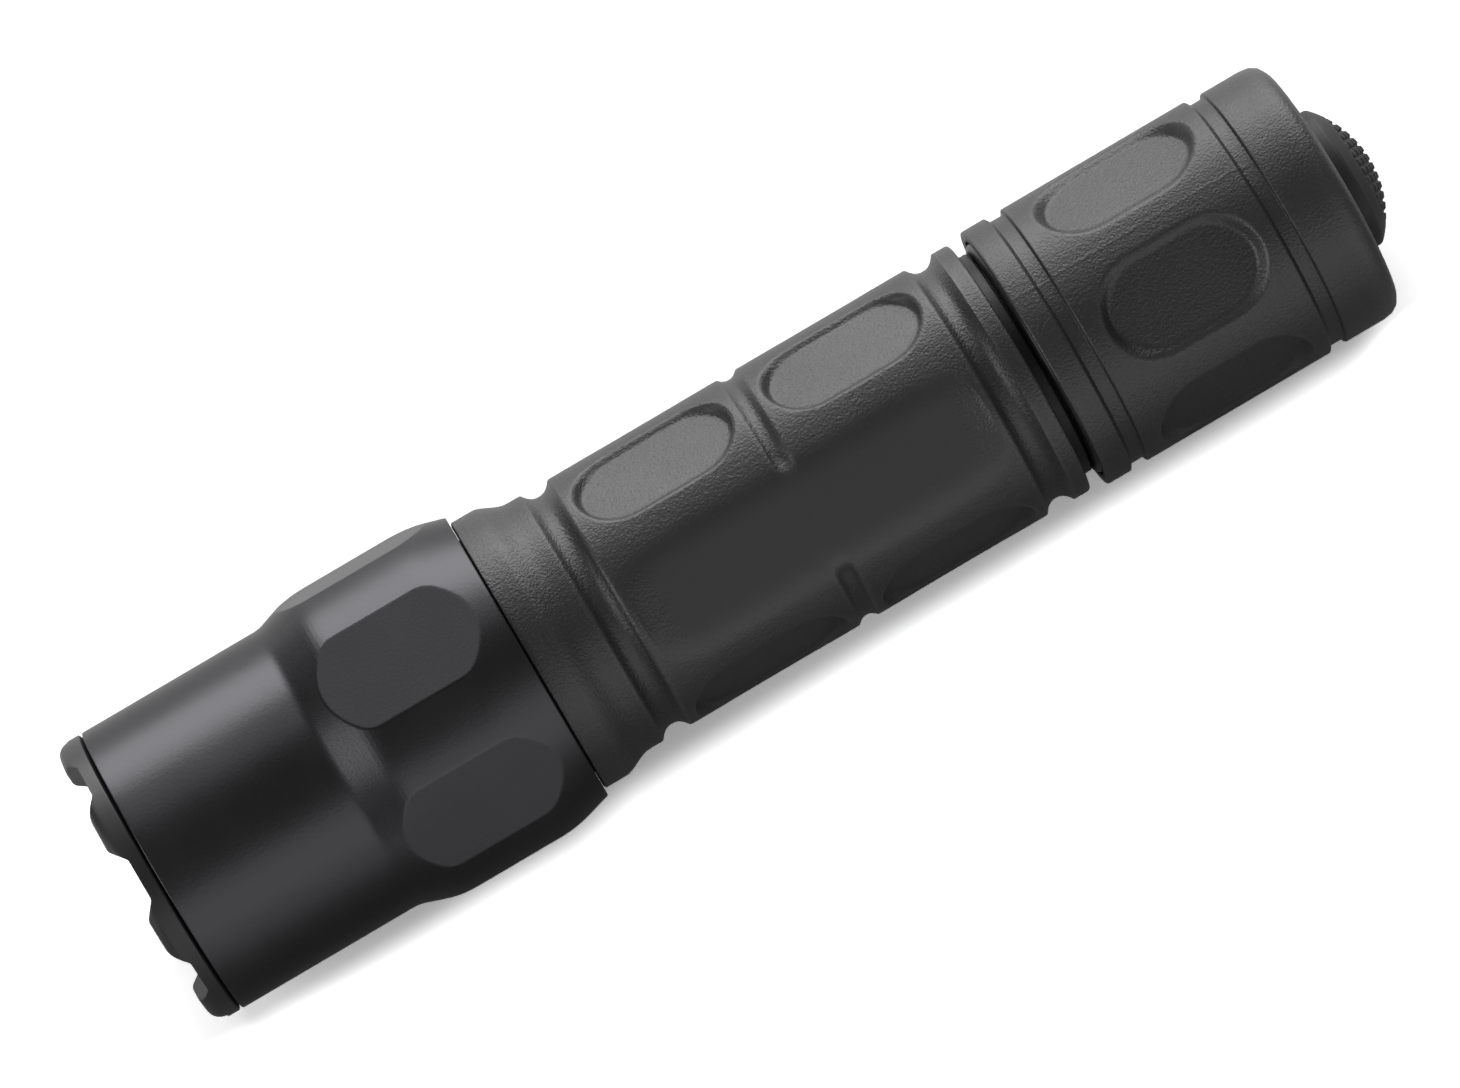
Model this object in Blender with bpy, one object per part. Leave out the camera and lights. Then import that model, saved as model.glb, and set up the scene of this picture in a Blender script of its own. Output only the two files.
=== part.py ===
"""Two-cell handheld tactical flashlight: metal head, moulded grip, screw tailcap with a push button.

Metres, +Z up. The light lies on one flat of its head, with its beam along +X.
A station is a distance behind the tips of the bezel teeth, measured along the light's axis.
"""

import math

import bmesh
import bpy
from mathutils import Matrix, Vector

# ---------------------------------------------------------------- clearances and mesh fineness
FIT = 0.0003  # gap left between pieces that seat on, or turn in, each other
WELD = 1e-7  # points this close are one point
SHELL_SIDES = 36  # sides of a turned shell
INNER_SIDES = 28  # sides of a turned piece inside the light
SMALL_SIDES = 16  # sides of a screw, post or wire

# ---------------------------------------------------------------- cells and the sleeve round them
CELL_COUNT = 2
CELL_RADIUS = 0.0084
CELL_LENGTH = 0.0345  # over the terminal
CELL_TERMINAL_RADIUS = 0.0031
CELL_TERMINAL_HEIGHT = 0.001
CELL_EDGE = 0.0005  # chamfer round the can's ends
CELL_STANDOUT = 0.0016  # how far the last cell stands out of the grip
SLEEVE_WALL = 0.0004

# ---------------------------------------------------------------- bezel ring, lens and seals
TOOTH_COUNT = 8
TOOTH_DEPTH = 0.00125
TOOTH_CLOCK = math.radians(21.3)  # turn of the first notch from the top
NOTCH_MOUTH = 0.0074  # width of a notch at the tooth tips
NOTCH_FLOOR = 0.0044
RING_BAND = 0.00125  # ring left behind the notches
RING_LIP = 0.0007  # ring metal behind its band, in front of the lens
RING_EDGE = 0.0011  # rounding of the ring's outer front edge
RING_APERTURE_STEP = 0.0008  # how far the lip covers the lens
RING_SKIRT_WALL = 0.0005
RING_SKIRT_LENGTH = 0.003
LENS_RADIUS = 0.0127
LENS_THICKNESS = 0.0018
SEAL_SECTION = 0.001  # thickness of the lens seal
ORING_SECTION = 0.0015  # thickness of the two body seals

# ---------------------------------------------------------------- reflector, light source and heat sink
REFLECTOR_DEPTH = 0.0165
REFLECTOR_THROAT = 0.0032
REFLECTOR_RIM = 0.001  # width and thickness of the flat rim at the mouth
REFLECTOR_WALL = 0.001
LED_SIDE = 0.005
LED_THICKNESS = 0.0008
LED_DOME = 0.0022
CENTRING_THICKNESS = 0.0008
CENTRING_WALL = 0.0013
BOARD_RADIUS = 0.009
BOARD_THICKNESS = 0.0015
BOARD_SCREW_CIRCLE = 0.0071
SCREW_RADIUS = 0.001
SCREW_HEAD_RADIUS = 0.0016
SCREW_HEAD_HEIGHT = 0.001
SCREW_LENGTH = 0.0032
WIRE_RADIUS = 0.00045
WIRE_CIRCLE = 0.0071
WIRE_PAD = 0.0007  # straight length soldered to its pad
HEAT_SINK_LENGTH = 0.0066
HEAT_SINK_WEB = 0.0024
HEAT_SINK_GROOVE = 0.0005
DRIVER_THICKNESS = 0.0012
DRIVER_SEAT = 0.0004  # how far the driver board sits inside the heat sink's rim
DRIVER_CAVITY = 0.009
INDUCTOR_RADIUS = 0.0024
INDUCTOR_HEIGHT = 0.0018
FRONT_SPRING_HEIGHT = 0.003
FRONT_SPRING_RADIUS = 0.0022
FRONT_SPRING_TURNS = 1  # turns between the closed ones at its ends
FRONT_SPRING_WIRE = 0.00025

# ---------------------------------------------------------------- head shell
HEAD_LENGTH = 0.0387
HEAD_WALL = 0.0008
HEAD_BARREL_LENGTH = 0.0187  # straight front part
HEAD_FLARE_LENGTH = 0.0045
HEAD_TAPER_LENGTH = 0.0048
HEAD_REAR_STEP = 0.00015  # rear edge over the front barrel's radius
HEAD_CHAMFER = 0.00025
FLAT_COUNT = 6
FLAT_RISE = 0.00075  # flats over the front barrel's radius
FLAT_HALF_WIDTH = 0.00495

# ---------------------------------------------------------------- grip body
FRONT_NECK_WALL = 0.0024
THREAD_PITCH = 0.0015
THREAD_DEPTH = 0.0006
THREAD_LAND = 0.0001  # plain neck over the thread crests
NECK_LEAD = 0.0006  # relief before a thread starts
SEAL_GROOVE_DEPTH = 0.00115
SEAL_GROOVE_WIDTH = 0.0019
FRONT_LAND = 0.0006  # plain neck on each side of the front seal
COLLAR_STEP = 0.00052  # collar under the head's front barrel radius
COLLAR_LENGTH = 0.0019
SHOULDER_LENGTH = 0.0033
SHOULDER_LAND = 0.0014
GROOVE_LENGTH = 0.0029
GROOVE_DEPTH = 0.00095
NOTCH_LENGTH = 0.0024  # shallow groove round the middle of the grip
NOTCH_DEPTH = 0.0004
BODY_WALL = 0.00245  # plastic left under the grip panels
PANEL_HALF_WIDTH = 0.0047
PANEL_EDGE_DEPTH = 0.0003
PANEL_DRAFT = 0.0003
PANEL_MARGIN = 0.0008
BODY_CLOCK = math.radians(34)  # turn of the smooth pad from the top
PAD_DEPTH = 0.0009
PAD_MARGIN = 0.0016
PAD_RAMP = 0.0022
FLANGE_LENGTH = 0.0017
FLANGE_EDGE = 0.0004
TAIL_NECK_WALL = 0.0014
TAIL_LAND = 0.001  # plain neck shown between the flange and the rear seal
TAIL_LAND_REAR = 0.0005
TAIL_THREAD_TURNS = 4
TAIL_NECK_TIP = 0.0008

# ---------------------------------------------------------------- tailcap
TIGHTEN_TURNS = 2 / 3
CAP_STANDOFF = 0.0006  # gap to the flange with the cap screwed right home
CAP_WALL = 0.0004  # plastic left between the thread and the panels
CAP_PANEL_COUNT = 6
CAP_PANEL_HALF_WIDTH = 0.00495
CAP_CLOCK = math.radians(28)
CAP_RING_LENGTH = 0.0028
CAP_RING_STEP = 0.00005  # front ring over the panelled barrel
CAP_GROOVE_LENGTH = 0.0018
CAP_GROOVE_DEPTH = 0.00055
CAP_GROOVE_SLOPE = 0.0005
CAP_END_LENGTH = 0.0065
CAP_END_STEP = 0.0001
CAP_END_ROUND = 0.0022
CAP_PANEL_MARGIN = 0.0018
CAP_THREAD_SLACK = 0.0004
RETAINER_WALL = 0.0019
RETAINER_THICKNESS = 0.0022
RETAINER_SLOT = 0.0016
SWITCH_LENGTH = 0.0106
SWITCH_POCKET = 0.0034  # depth of the pocket for the cell spring
SWITCH_FLOOR = 0.0016
SWITCH_WELL_RADIUS = 0.0058
SEAT_RADIUS = 0.0055
SEAT_THICKNESS = 0.0008
STUD_RADIUS = 0.0012
STUD_STANDOUT = 0.0004
CELL_SPRING_TURNS = 1
CELL_SPRING_WIRE = 0.0003
CELL_SPRING_TIP = 0.003
CELL_SPRING_BASE = 0.0048

# ---------------------------------------------------------------- button
PRESS_TRAVEL = 0.0012
PRESS_OVERRUN = 0.0006
BUTTON_RADIUS = 0.007
BUTTON_FLANGE_STEP = 0.0028
BUTTON_FLANGE_THICKNESS = 0.0024
BUTTON_STANDOUT = 0.0015  # straight side showing behind the cap
BUTTON_DOME_RADIUS = 0.0101
BUTTON_EDGE = 0.0003
BUTTON_SOCKET_DEPTH = 0.0045
CAP_WEB_THICKNESS = 0.0042
BUTTON_SEAL_SECTION = 0.001
PLUNGER_RADIUS = 0.0018
PLUNGER_TIP_LENGTH = 0.0012
PLUNGER_TIP_FLANGE = 0.0006
RETURN_SPRING_RADIUS = 0.0043
RETURN_SPRING_WIRE = 0.0003
RETURN_SPRING_TURNS = 5

# ---------------------------------------------------------------- stations of the head's stack
ring_rear = TOOTH_DEPTH + RING_BAND
head_front = ring_rear + FIT
lens_front = ring_rear + RING_LIP + FIT
lens_rear = lens_front + LENS_THICKNESS
reflector_front = lens_rear + SEAL_SECTION + 2 * FIT
reflector_rear = reflector_front + REFLECTOR_DEPTH
centring_front = reflector_rear + FIT
board_front = centring_front + CENTRING_THICKNESS + FIT
sink_front = board_front + BOARD_THICKNESS + FIT
sink_rear = sink_front + HEAT_SINK_LENGTH
driver_rear = sink_rear - DRIVER_SEAT
driver_front = driver_rear - DRIVER_THICKNESS
head_rear = head_front + HEAD_LENGTH

# ---------------------------------------------------------------- stations of the cells and the grip
cell_front = driver_rear + FRONT_SPRING_HEIGHT + 2 * FIT
cells_rear = cell_front + CELL_COUNT * CELL_LENGTH + (CELL_COUNT - 1) * FIT
neck_front = sink_rear + FIT
neck_rear = cells_rear - CELL_STANDOUT
collar_front = head_rear + FIT
front_groove = collar_front - FRONT_LAND - SEAL_GROOVE_WIDTH
front_thread_end = front_groove - FRONT_LAND
shoulder_front = collar_front + COLLAR_LENGTH
shoulder_rear = shoulder_front + SHOULDER_LENGTH
grip_front = shoulder_rear + SHOULDER_LAND + GROOVE_LENGTH
tail_thread_rear = neck_rear - TAIL_NECK_TIP
tail_thread_front = tail_thread_rear - TAIL_THREAD_TURNS * THREAD_PITCH
tail_groove_rear = tail_thread_front - TAIL_LAND_REAR
tail_groove_front = tail_groove_rear - SEAL_GROOVE_WIDTH
flange_rear = tail_groove_front - TAIL_LAND
flange_front = flange_rear - FLANGE_LENGTH
grip_rear = flange_front - GROOVE_LENGTH
grip_middle = (grip_front + grip_rear) / 2

# ---------------------------------------------------------------- stations of the tailcap and button
tighten_travel = TIGHTEN_TURNS * THREAD_PITCH
cap_front = flange_rear + CAP_STANDOFF + tighten_travel
cap_thread_front = tail_thread_front + tighten_travel + FIT
cap_thread_rear = neck_rear + CAP_THREAD_SLACK
retainer_front = neck_rear + tighten_travel + FIT
retainer_rear = retainer_front + RETAINER_THICKNESS
switch_front = retainer_rear + FIT
switch_rear = switch_front + SWITCH_LENGTH
pocket_floor = switch_front + SWITCH_POCKET
well_floor = pocket_floor + SWITCH_FLOOR
seat_rear = pocket_floor - FIT
seat_front = seat_rear - SEAT_THICKNESS
stud_rear = well_floor + STUD_STANDOUT
flange_of_button = switch_rear + PRESS_TRAVEL + PRESS_OVERRUN
button_shoulder = flange_of_button + BUTTON_FLANGE_THICKNESS
web_front = button_shoulder + FIT
cap_rear = web_front + CAP_WEB_THICKNESS
dome_edge = cap_rear + BUTTON_STANDOUT
dome_height = BUTTON_DOME_RADIUS - math.sqrt(BUTTON_DOME_RADIUS**2 - BUTTON_RADIUS**2)
button_rear = dome_edge + dome_height
plunger_front = stud_rear + PRESS_TRAVEL + FIT
overall_length = button_rear

# ---------------------------------------------------------------- radii, from the cells outwards
sleeve_bore = CELL_RADIUS + FIT
sleeve_radius = sleeve_bore + SLEEVE_WALL
body_bore = sleeve_radius + FIT
skirt_bore = LENS_RADIUS + FIT
skirt_radius = skirt_bore + RING_SKIRT_WALL
head_mouth = skirt_radius + FIT
head_radius = head_mouth + HEAD_WALL
aperture = LENS_RADIUS - RING_APERTURE_STEP
reflector_radius = LENS_RADIUS
head_bore = reflector_radius + FIT
flat_apothem = head_radius + FLAT_RISE
flare_radius = math.hypot(flat_apothem, FLAT_HALF_WIDTH)
collar_radius = head_radius - COLLAR_STEP
panel_floor = body_bore + BODY_WALL
body_radius = math.hypot(panel_floor + PANEL_EDGE_DEPTH, PANEL_HALF_WIDTH)
front_root = body_bore + FRONT_NECK_WALL
tail_root = body_bore + TAIL_NECK_WALL
tail_neck = tail_root + THREAD_DEPTH + THREAD_LAND
cap_thread_root = tail_root + THREAD_DEPTH + FIT
cap_bore = tail_root + FIT
cap_mouth = tail_neck - SEAL_GROOVE_DEPTH + FIT + ORING_SECTION + FIT
cap_panel_floor = cap_thread_root + CAP_WALL
cap_radius = math.hypot(cap_panel_floor + PANEL_EDGE_DEPTH, CAP_PANEL_HALF_WIDTH)
module_radius = cap_bore - FIT
retainer_bore = module_radius - RETAINER_WALL
button_hole = BUTTON_RADIUS + FIT
seal_pocket = button_hole + BUTTON_SEAL_SECTION + FIT
button_flange = BUTTON_RADIUS + BUTTON_FLANGE_STEP


# ================================================================ scene, materials and placing
def clear_scene():
    for obj in list(bpy.data.objects):
        bpy.data.objects.remove(obj)


def finish(name, colour, roughness, metallic=0.0, transmission=0.0):
    """A plain Principled material."""
    material = bpy.data.materials.new(name)
    material.use_nodes = True
    shader = material.node_tree.nodes["Principled BSDF"]
    shader.inputs["Base Color"].default_value = (*colour, 1.0)
    shader.inputs["Roughness"].default_value = roughness
    shader.inputs["Metallic"].default_value = metallic
    shader.inputs["Transmission Weight"].default_value = transmission
    return material


def joint_empty(name, station, parent=None):
    """An empty on the light's axis at a station, for the pieces that move together."""
    empty = bpy.data.objects.new(name, None)
    bpy.context.scene.collection.objects.link(empty)
    if parent is None:
        empty.location = (overall_length / 2 - station, 0, flat_apothem)
    else:
        empty.parent = parent
        empty.location = (parent["station"] - station, 0, 0)
    empty["station"] = station
    return empty


def place(name, mesh, parent, station, material):
    """Shows a mesh whose own x runs forwards from the station."""
    obj = bpy.data.objects.new(name, mesh)
    bpy.context.scene.collection.objects.link(obj)
    obj.parent = parent
    obj.location = (parent["station"] - station, 0, 0)
    mesh.materials.append(material)
    mesh.shade_smooth()
    mesh.set_sharp_from_angle(angle=math.radians(30))
    return obj


def mesh_from(name, bm):
    bmesh.ops.remove_doubles(bm, verts=bm.verts, dist=WELD)
    bmesh.ops.dissolve_degenerate(bm, edges=bm.edges, dist=WELD)
    bmesh.ops.recalc_face_normals(bm, faces=bm.faces)
    mesh = bpy.data.meshes.new(name)
    bm.to_mesh(mesh)
    bm.free()
    return mesh


# ================================================================ turned and wound shapes
def turned_mesh(name, station, profile, sides):
    """A turned solid. The profile gives (station, radius) points, or is a function of the turn, from 0 to 1.

    A profile that starts and ends on the axis is solid. Any other is joined end to start as a ring.
    """
    profile_at = profile if callable(profile) else lambda turn: profile
    bm = bmesh.new()
    columns = []
    for step in range(sides + 1):
        angle = 2 * math.pi * step / sides
        columns.append(
            [
                bm.verts.new((station - s, r * math.sin(angle), r * math.cos(angle)))
                for s, r in profile_at(step / sides)
            ]
        )
    rows = len(columns[0])
    is_ring = profile_at(0)[0][1] > 0
    for left, right in zip(columns, columns[1:]):
        for row in range(rows if is_ring else rows - 1):
            after = (row + 1) % rows
            bm.faces.new((left[row], right[row], right[after], left[after]))
    return mesh_from(name, bm)


def turned(name, parent, station, profile, material, sides=INNER_SIDES):
    return place(name, turned_mesh(name, station, profile, sides), parent, station, material)


def tube_profile(front, rear, inner, outer):
    return [(front, inner), (front, outer), (rear, outer), (rear, inner)]


def seal_ring(name, parent, centre, inner, section, material):
    """An O-ring whose hole has the radius inner."""
    middle = inner + section / 2
    arc = [math.pi / 6 + math.pi / 3 * k for k in range(6)]
    profile = [(centre + section / 2 * math.cos(a), middle + section / 2 * math.sin(a)) for a in arc]
    return turned(name, parent, centre, profile, material)


def thread_rows(turn, front, rear, origin, valley, crest):
    """The (station, radius) points of a right-hand V thread at this turn, cut off square at front and rear."""
    def radius_at(station):
        phase = ((station - origin) / THREAD_PITCH - turn) % 1
        return valley + (crest - valley) * (1 - abs(1 - 2 * phase))

    first = math.floor(2 * (front - origin) / THREAD_PITCH) - 2
    last = math.ceil(2 * (rear - origin) / THREAD_PITCH) + 1
    rows = [(front, radius_at(front))]
    for half in range(first, last):
        station = origin + (half / 2 + turn) * THREAD_PITCH
        station = min(max(station, front), rear)
        rows.append((station, radius_at(station)))
    rows.append((rear, radius_at(rear)))
    return rows


def groove_rows(front, length, outer, depth):
    """A round-bottomed groove as five points."""
    shares = ((0, 0), (0.2, 0.55), (0.5, 1), (0.8, 0.55), (1, 0))
    return [(front + length * a, outer - depth * b) for a, b in shares]


def step_groove_rows(front, length, slope, outer, depth, rear_outer):
    """A flat-bottomed groove with sloping sides."""
    return [
        (front, outer),
        (front + slope, outer - depth),
        (front + length - slope, outer - depth),
        (front + length, rear_outer),
    ]


def spring(name, parent, front, rear, front_radius, rear_radius, turns, wire, material):
    """A coil spring that just clears the two faces it stands between, with a closed turn at each end."""
    curve = bpy.data.curves.new(name, "CURVE")
    curve.dimensions = "3D"
    curve.bevel_depth = wire
    curve.bevel_resolution = 1
    curve.use_fill_caps = True
    start, end = front + wire, rear - wire
    closed = (2 * wire + FIT) / (end - start)  # share of the height in each end turn
    count = 10 * (turns + 2) + 1
    spline = curve.splines.new("POLY")
    spline.points.add(count - 1)
    for k, point in enumerate(spline.points):
        share = k / (count - 1)
        end_share = 1 / (turns + 2)
        if share < end_share:
            climb = closed * share / end_share
        elif share > 1 - end_share:
            climb = 1 - closed * (1 - share) / end_share
        else:
            climb = closed + (1 - 2 * closed) * (share - end_share) / (1 - 2 * end_share)
        angle = 2 * math.pi * share * (turns + 2)
        radius = front_radius + (rear_radius - front_radius) * climb
        reach = climb * (end - start)
        point.co = (-reach, radius * math.sin(angle), radius * math.cos(angle), 1)
    obj = bpy.data.objects.new(name, curve)
    bpy.context.scene.collection.objects.link(obj)
    obj.parent = parent
    obj.location = (parent["station"] - start, 0, 0)
    curve.materials.append(material)
    return obj


# ================================================================ cutters
def cutter(name, bm, parent):
    """A hidden mesh in the parent's frame, with x forwards from station 0."""
    mesh = mesh_from(name, bm)
    obj = bpy.data.objects.new(name, mesh)
    bpy.context.scene.collection.objects.link(obj)
    obj.parent = parent
    obj.location = (parent["station"], 0, 0)
    obj.hide_render = True
    obj.display_type = "WIRE"
    return obj


def cut(obj, tool, operation="DIFFERENCE"):
    modifier = obj.modifiers.new(tool.name, "BOOLEAN")
    modifier.operation = operation
    modifier.solver = "EXACT"
    modifier.object = tool
    return modifier


def add_loft(bm, loops):
    """Closed solid through loops of points with the same count, capped at both ends."""
    rings = [[bm.verts.new(point) for point in loop] for loop in loops]
    for low, high in zip(rings, rings[1:]):
        for k in range(len(low)):
            after = (k + 1) % len(low)
            bm.faces.new((low[k], low[after], high[after], high[k]))
    bm.faces.new(list(reversed(rings[0])))
    bm.faces.new(rings[-1])


def clocked(points, angle):
    """Points drawn at the top of the light, turned about its axis from +Z towards +Y."""
    turn = Matrix.Rotation(-angle, 3, "X")
    return [turn @ Vector(point) for point in points]


def stadium(front, rear, half_width, height):
    """A slot outline with round ends, from one station to another, at a height over the axis."""
    steps = 8
    points = []
    for k in range(steps + 1):
        angle = math.pi * k / steps
        points.append((-(front + half_width) + half_width * math.sin(angle), -half_width * math.cos(angle), height))
    for k in range(steps + 1):
        angle = math.pi * k / steps
        points.append((-(rear - half_width) - half_width * math.sin(angle), half_width * math.cos(angle), height))
    return points


def add_panel(bm, angle, front, rear, half_width, floor, top):
    """A grip panel: a flat-floored pocket with drafted sides, its outline at the depth of its long edges."""
    slope = PANEL_DRAFT / PANEL_EDGE_DEPTH / 2
    loops = []
    for height in (floor, top):
        grow = slope * (height - floor - PANEL_EDGE_DEPTH)
        loops.append(clocked(stadium(front - grow, rear + grow, half_width + grow, height), angle))
    add_loft(bm, loops)


def add_prism(bm, outline, low, high, angle=0.0):
    """The (station, height) outline run across the light from y low to y high, then clocked."""
    add_loft(bm, [clocked([(-s, y, z) for s, z in outline], angle) for y in (low, high)])


# ================================================================ head
def build_bezel_ring(axis, material):
    outer = head_radius
    arc = [math.radians(a) for a in (0, 30, 60, 90)]
    profile = [(0, aperture), *[
        (RING_EDGE * (1 - math.sin(a)), outer - RING_EDGE * (1 - math.cos(a))) for a in reversed(arc)
    ]]
    profile += [
        (ring_rear, outer),
        (ring_rear, skirt_radius),
        (ring_rear + RING_SKIRT_LENGTH, skirt_radius),
        (ring_rear + RING_SKIRT_LENGTH, skirt_bore),
        (ring_rear + RING_LIP, skirt_bore),
        (ring_rear + RING_LIP, aperture),
    ]
    ring = turned("bezel_ring", axis, 0, profile, material, sides=SHELL_SIDES)
    bm = bmesh.new()
    above = TOOTH_DEPTH
    mouth = NOTCH_MOUTH + (NOTCH_MOUTH - NOTCH_FLOOR) * above / TOOTH_DEPTH
    for k in range(TOOTH_COUNT):
        loops = []
        for height in (aperture / 2, outer + above):
            loops.append(clocked([
                (above, -mouth / 2, height),
                (above, mouth / 2, height),
                (-TOOTH_DEPTH, NOTCH_FLOOR / 2, height),
                (-TOOTH_DEPTH, -NOTCH_FLOOR / 2, height),
            ], TOOTH_CLOCK + 2 * math.pi * k / TOOTH_COUNT))
        add_loft(bm, loops)
    cut(ring, cutter("notch_cutters", bm, axis))


def build_head_shell(axis, material):
    barrel_end = head_front + HEAD_BARREL_LENGTH
    flare_end = barrel_end + HEAD_FLARE_LENGTH
    taper_start = head_rear - HEAD_TAPER_LENGTH
    seal_bore = front_root + THREAD_DEPTH + THREAD_LAND - SEAL_GROOVE_DEPTH + FIT + ORING_SECTION + FIT
    minor = front_root + FIT
    major = front_root + THREAD_DEPTH + FIT
    skirt_end = ring_rear + RING_SKIRT_LENGTH + FIT
    thread_front = neck_front + NECK_LEAD
    thread_rear = front_thread_end - FIT

    def profile(turn):
        return [
            (head_front, head_mouth),
            (head_front, head_radius - HEAD_CHAMFER),
            (head_front + HEAD_CHAMFER, head_radius),
            (barrel_end, head_radius),
            (flare_end, flare_radius),
            (taper_start, flare_radius),
            (head_rear, head_radius + HEAD_REAR_STEP),
            (head_rear, seal_bore),
            (thread_rear, seal_bore),
            *reversed(thread_rows(turn, thread_front, thread_rear, thread_front, minor, major)),
            (thread_front, head_bore),
            (skirt_end, head_bore),
            (skirt_end, head_mouth),
        ]

    head = turned("head_shell", axis, head_front, profile, material, sides=SHELL_SIDES)
    bm = bmesh.new()
    corner = flat_apothem / math.cos(math.pi / FLAT_COUNT)
    loops = []
    for station in (head_front - HEAD_CHAMFER * 4, head_rear + HEAD_CHAMFER * 4):
        angles = [2 * math.pi * (k + 0.5) / FLAT_COUNT for k in range(FLAT_COUNT)]
        loops.append([(-station, corner * math.sin(a), corner * math.cos(a)) for a in angles])
    add_loft(bm, loops)
    cut(head, cutter("flats_gauge", bm, axis), "INTERSECT")


def build_optics(axis, finishes):
    turned("lens", axis, lens_front, [
        (lens_front, 0), (lens_front, LENS_RADIUS), (lens_rear, LENS_RADIUS), (lens_rear, 0),
    ], finishes["glass"], sides=SHELL_SIDES)
    seal_ring("lens_seal", axis, lens_rear + FIT + SEAL_SECTION / 2,
              LENS_RADIUS - 1.2 * SEAL_SECTION, SEAL_SECTION, finishes["rubber"])
    mouth = reflector_radius - REFLECTOR_RIM
    four_focal = (mouth**2 - REFLECTOR_THROAT**2) / REFLECTOR_DEPTH
    steps = 8
    bowl = []
    for k in range(steps + 1):
        radius = mouth + (REFLECTOR_THROAT - mouth) * k / steps
        bowl.append((reflector_rear - (radius**2 - REFLECTOR_THROAT**2) / four_focal, radius))
    back = [(s + REFLECTOR_RIM / 2, r + REFLECTOR_WALL) for s, r in bowl[1:-1]]
    profile = [
        *bowl,
        (reflector_rear, REFLECTOR_THROAT + REFLECTOR_WALL),
        *reversed(back),
        (reflector_front + REFLECTOR_RIM, reflector_radius),
        (reflector_front, reflector_radius),
    ]
    turned("reflector", axis, reflector_front, profile, finishes["reflector"], sides=SHELL_SIDES)


def box_mesh(name, depth, side):
    bm = bmesh.new()
    bmesh.ops.create_cube(bm, size=1.0, matrix=Matrix.Diagonal((depth, side, side, 1)))
    bmesh.ops.translate(bm, verts=bm.verts, vec=(-depth / 2, 0, 0))
    return mesh_from(name, bm)


def build_light_source(axis, finishes):
    led_front = board_front - FIT - LED_THICKNESS
    place("led_package", box_mesh("led_package", LED_THICKNESS, LED_SIDE), axis, led_front, finishes["ceramic"])
    dome = [(led_front - FIT - LED_DOME * math.cos(a), LED_DOME * math.sin(a))
            for a in [math.pi / 2 * k / 5 for k in range(6)]]
    turned("led_dome", axis, led_front, [*dome, (led_front - FIT, 0)], finishes["phosphor"], sides=SMALL_SIDES)
    inner = LED_SIDE / math.sqrt(2) + FIT
    turned("led_centring_ring", axis, centring_front,
           tube_profile(centring_front, centring_front + CENTRING_THICKNESS, inner, inner + CENTRING_WALL),
           finishes["white_plastic"])
    board = turned("led_board", axis, board_front, [
        (board_front, 0), (board_front, BOARD_RADIUS),
        (board_front + BOARD_THICKNESS, BOARD_RADIUS), (board_front + BOARD_THICKNESS, 0),
    ], finishes["board"])
    drill = bmesh.new()
    screw_hole = SCREW_RADIUS + FIT
    wire_hole = WIRE_RADIUS + FIT
    drill_rear = sink_front + HEAT_SINK_WEB + HEAT_SINK_GROOVE
    screw_rear = board_front - FIT + SCREW_LENGTH + FIT
    for side in (1, -1):
        holes = ((screw_hole, 0, side * BOARD_SCREW_CIRCLE, screw_rear), (wire_hole, side * WIRE_CIRCLE, 0, drill_rear))
        for radius, y, z, rear in holes:
            length = rear - board_front + HEAT_SINK_GROOVE
            bmesh.ops.create_cone(
                drill, cap_ends=True, segments=SMALL_SIDES, radius1=radius, radius2=radius, depth=length,
                matrix=Matrix.Translation((-(rear - length / 2), y, z)) @ Matrix.Rotation(math.pi / 2, 4, "Y"),
            )
    drills = cutter("board_drills", drill, axis)
    cut(board, drills)
    for side, name in ((1, "led_screw_upper"), (-1, "led_screw_lower")):
        face = board_front - FIT
        profile = [
            (face - SCREW_HEAD_HEIGHT, 0), (face - SCREW_HEAD_HEIGHT, SCREW_HEAD_RADIUS - FIT),
            (face - SCREW_HEAD_HEIGHT + FIT, SCREW_HEAD_RADIUS), (face, SCREW_HEAD_RADIUS),
            (face, SCREW_RADIUS), (face + SCREW_LENGTH - FIT, SCREW_RADIUS), (face + SCREW_LENGTH - FIT, 0),
        ]
        screw = turned(name, axis, face, profile, finishes["steel"], sides=SMALL_SIDES)
        screw.location.z = side * BOARD_SCREW_CIRCLE
    return drills


def build_wires(axis, finishes):
    """Each wire lies on its pad beside the light source, bends into its hole and runs back to the driver."""
    bend = WIRE_RADIUS + FIT
    top = board_front - bend
    arc = [math.pi / 2 * k / 5 for k in range(6)]
    points = [(top, WIRE_CIRCLE - bend - WIRE_PAD)]
    points += [(top + bend * (1 - math.cos(a)), WIRE_CIRCLE - bend + bend * math.sin(a)) for a in arc]
    points.append((driver_front - FIT, WIRE_CIRCLE))
    for side, name, material in ((1, "led_wire_red", "red_wire"), (-1, "led_wire_black", "rubber")):
        curve = bpy.data.curves.new(name, "CURVE")
        curve.dimensions = "3D"
        curve.bevel_depth = WIRE_RADIUS
        curve.bevel_resolution = 1
        curve.use_fill_caps = True
        spline = curve.splines.new("POLY")
        spline.points.add(len(points) - 1)
        for point, (station, y) in zip(spline.points, points):
            point.co = (top - station, side * y, 0, 1)
        wire = bpy.data.objects.new(name, curve)
        bpy.context.scene.collection.objects.link(wire)
        wire.parent = axis
        wire.location = (-top, 0, 0)
        curve.materials.append(finishes[material])


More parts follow.
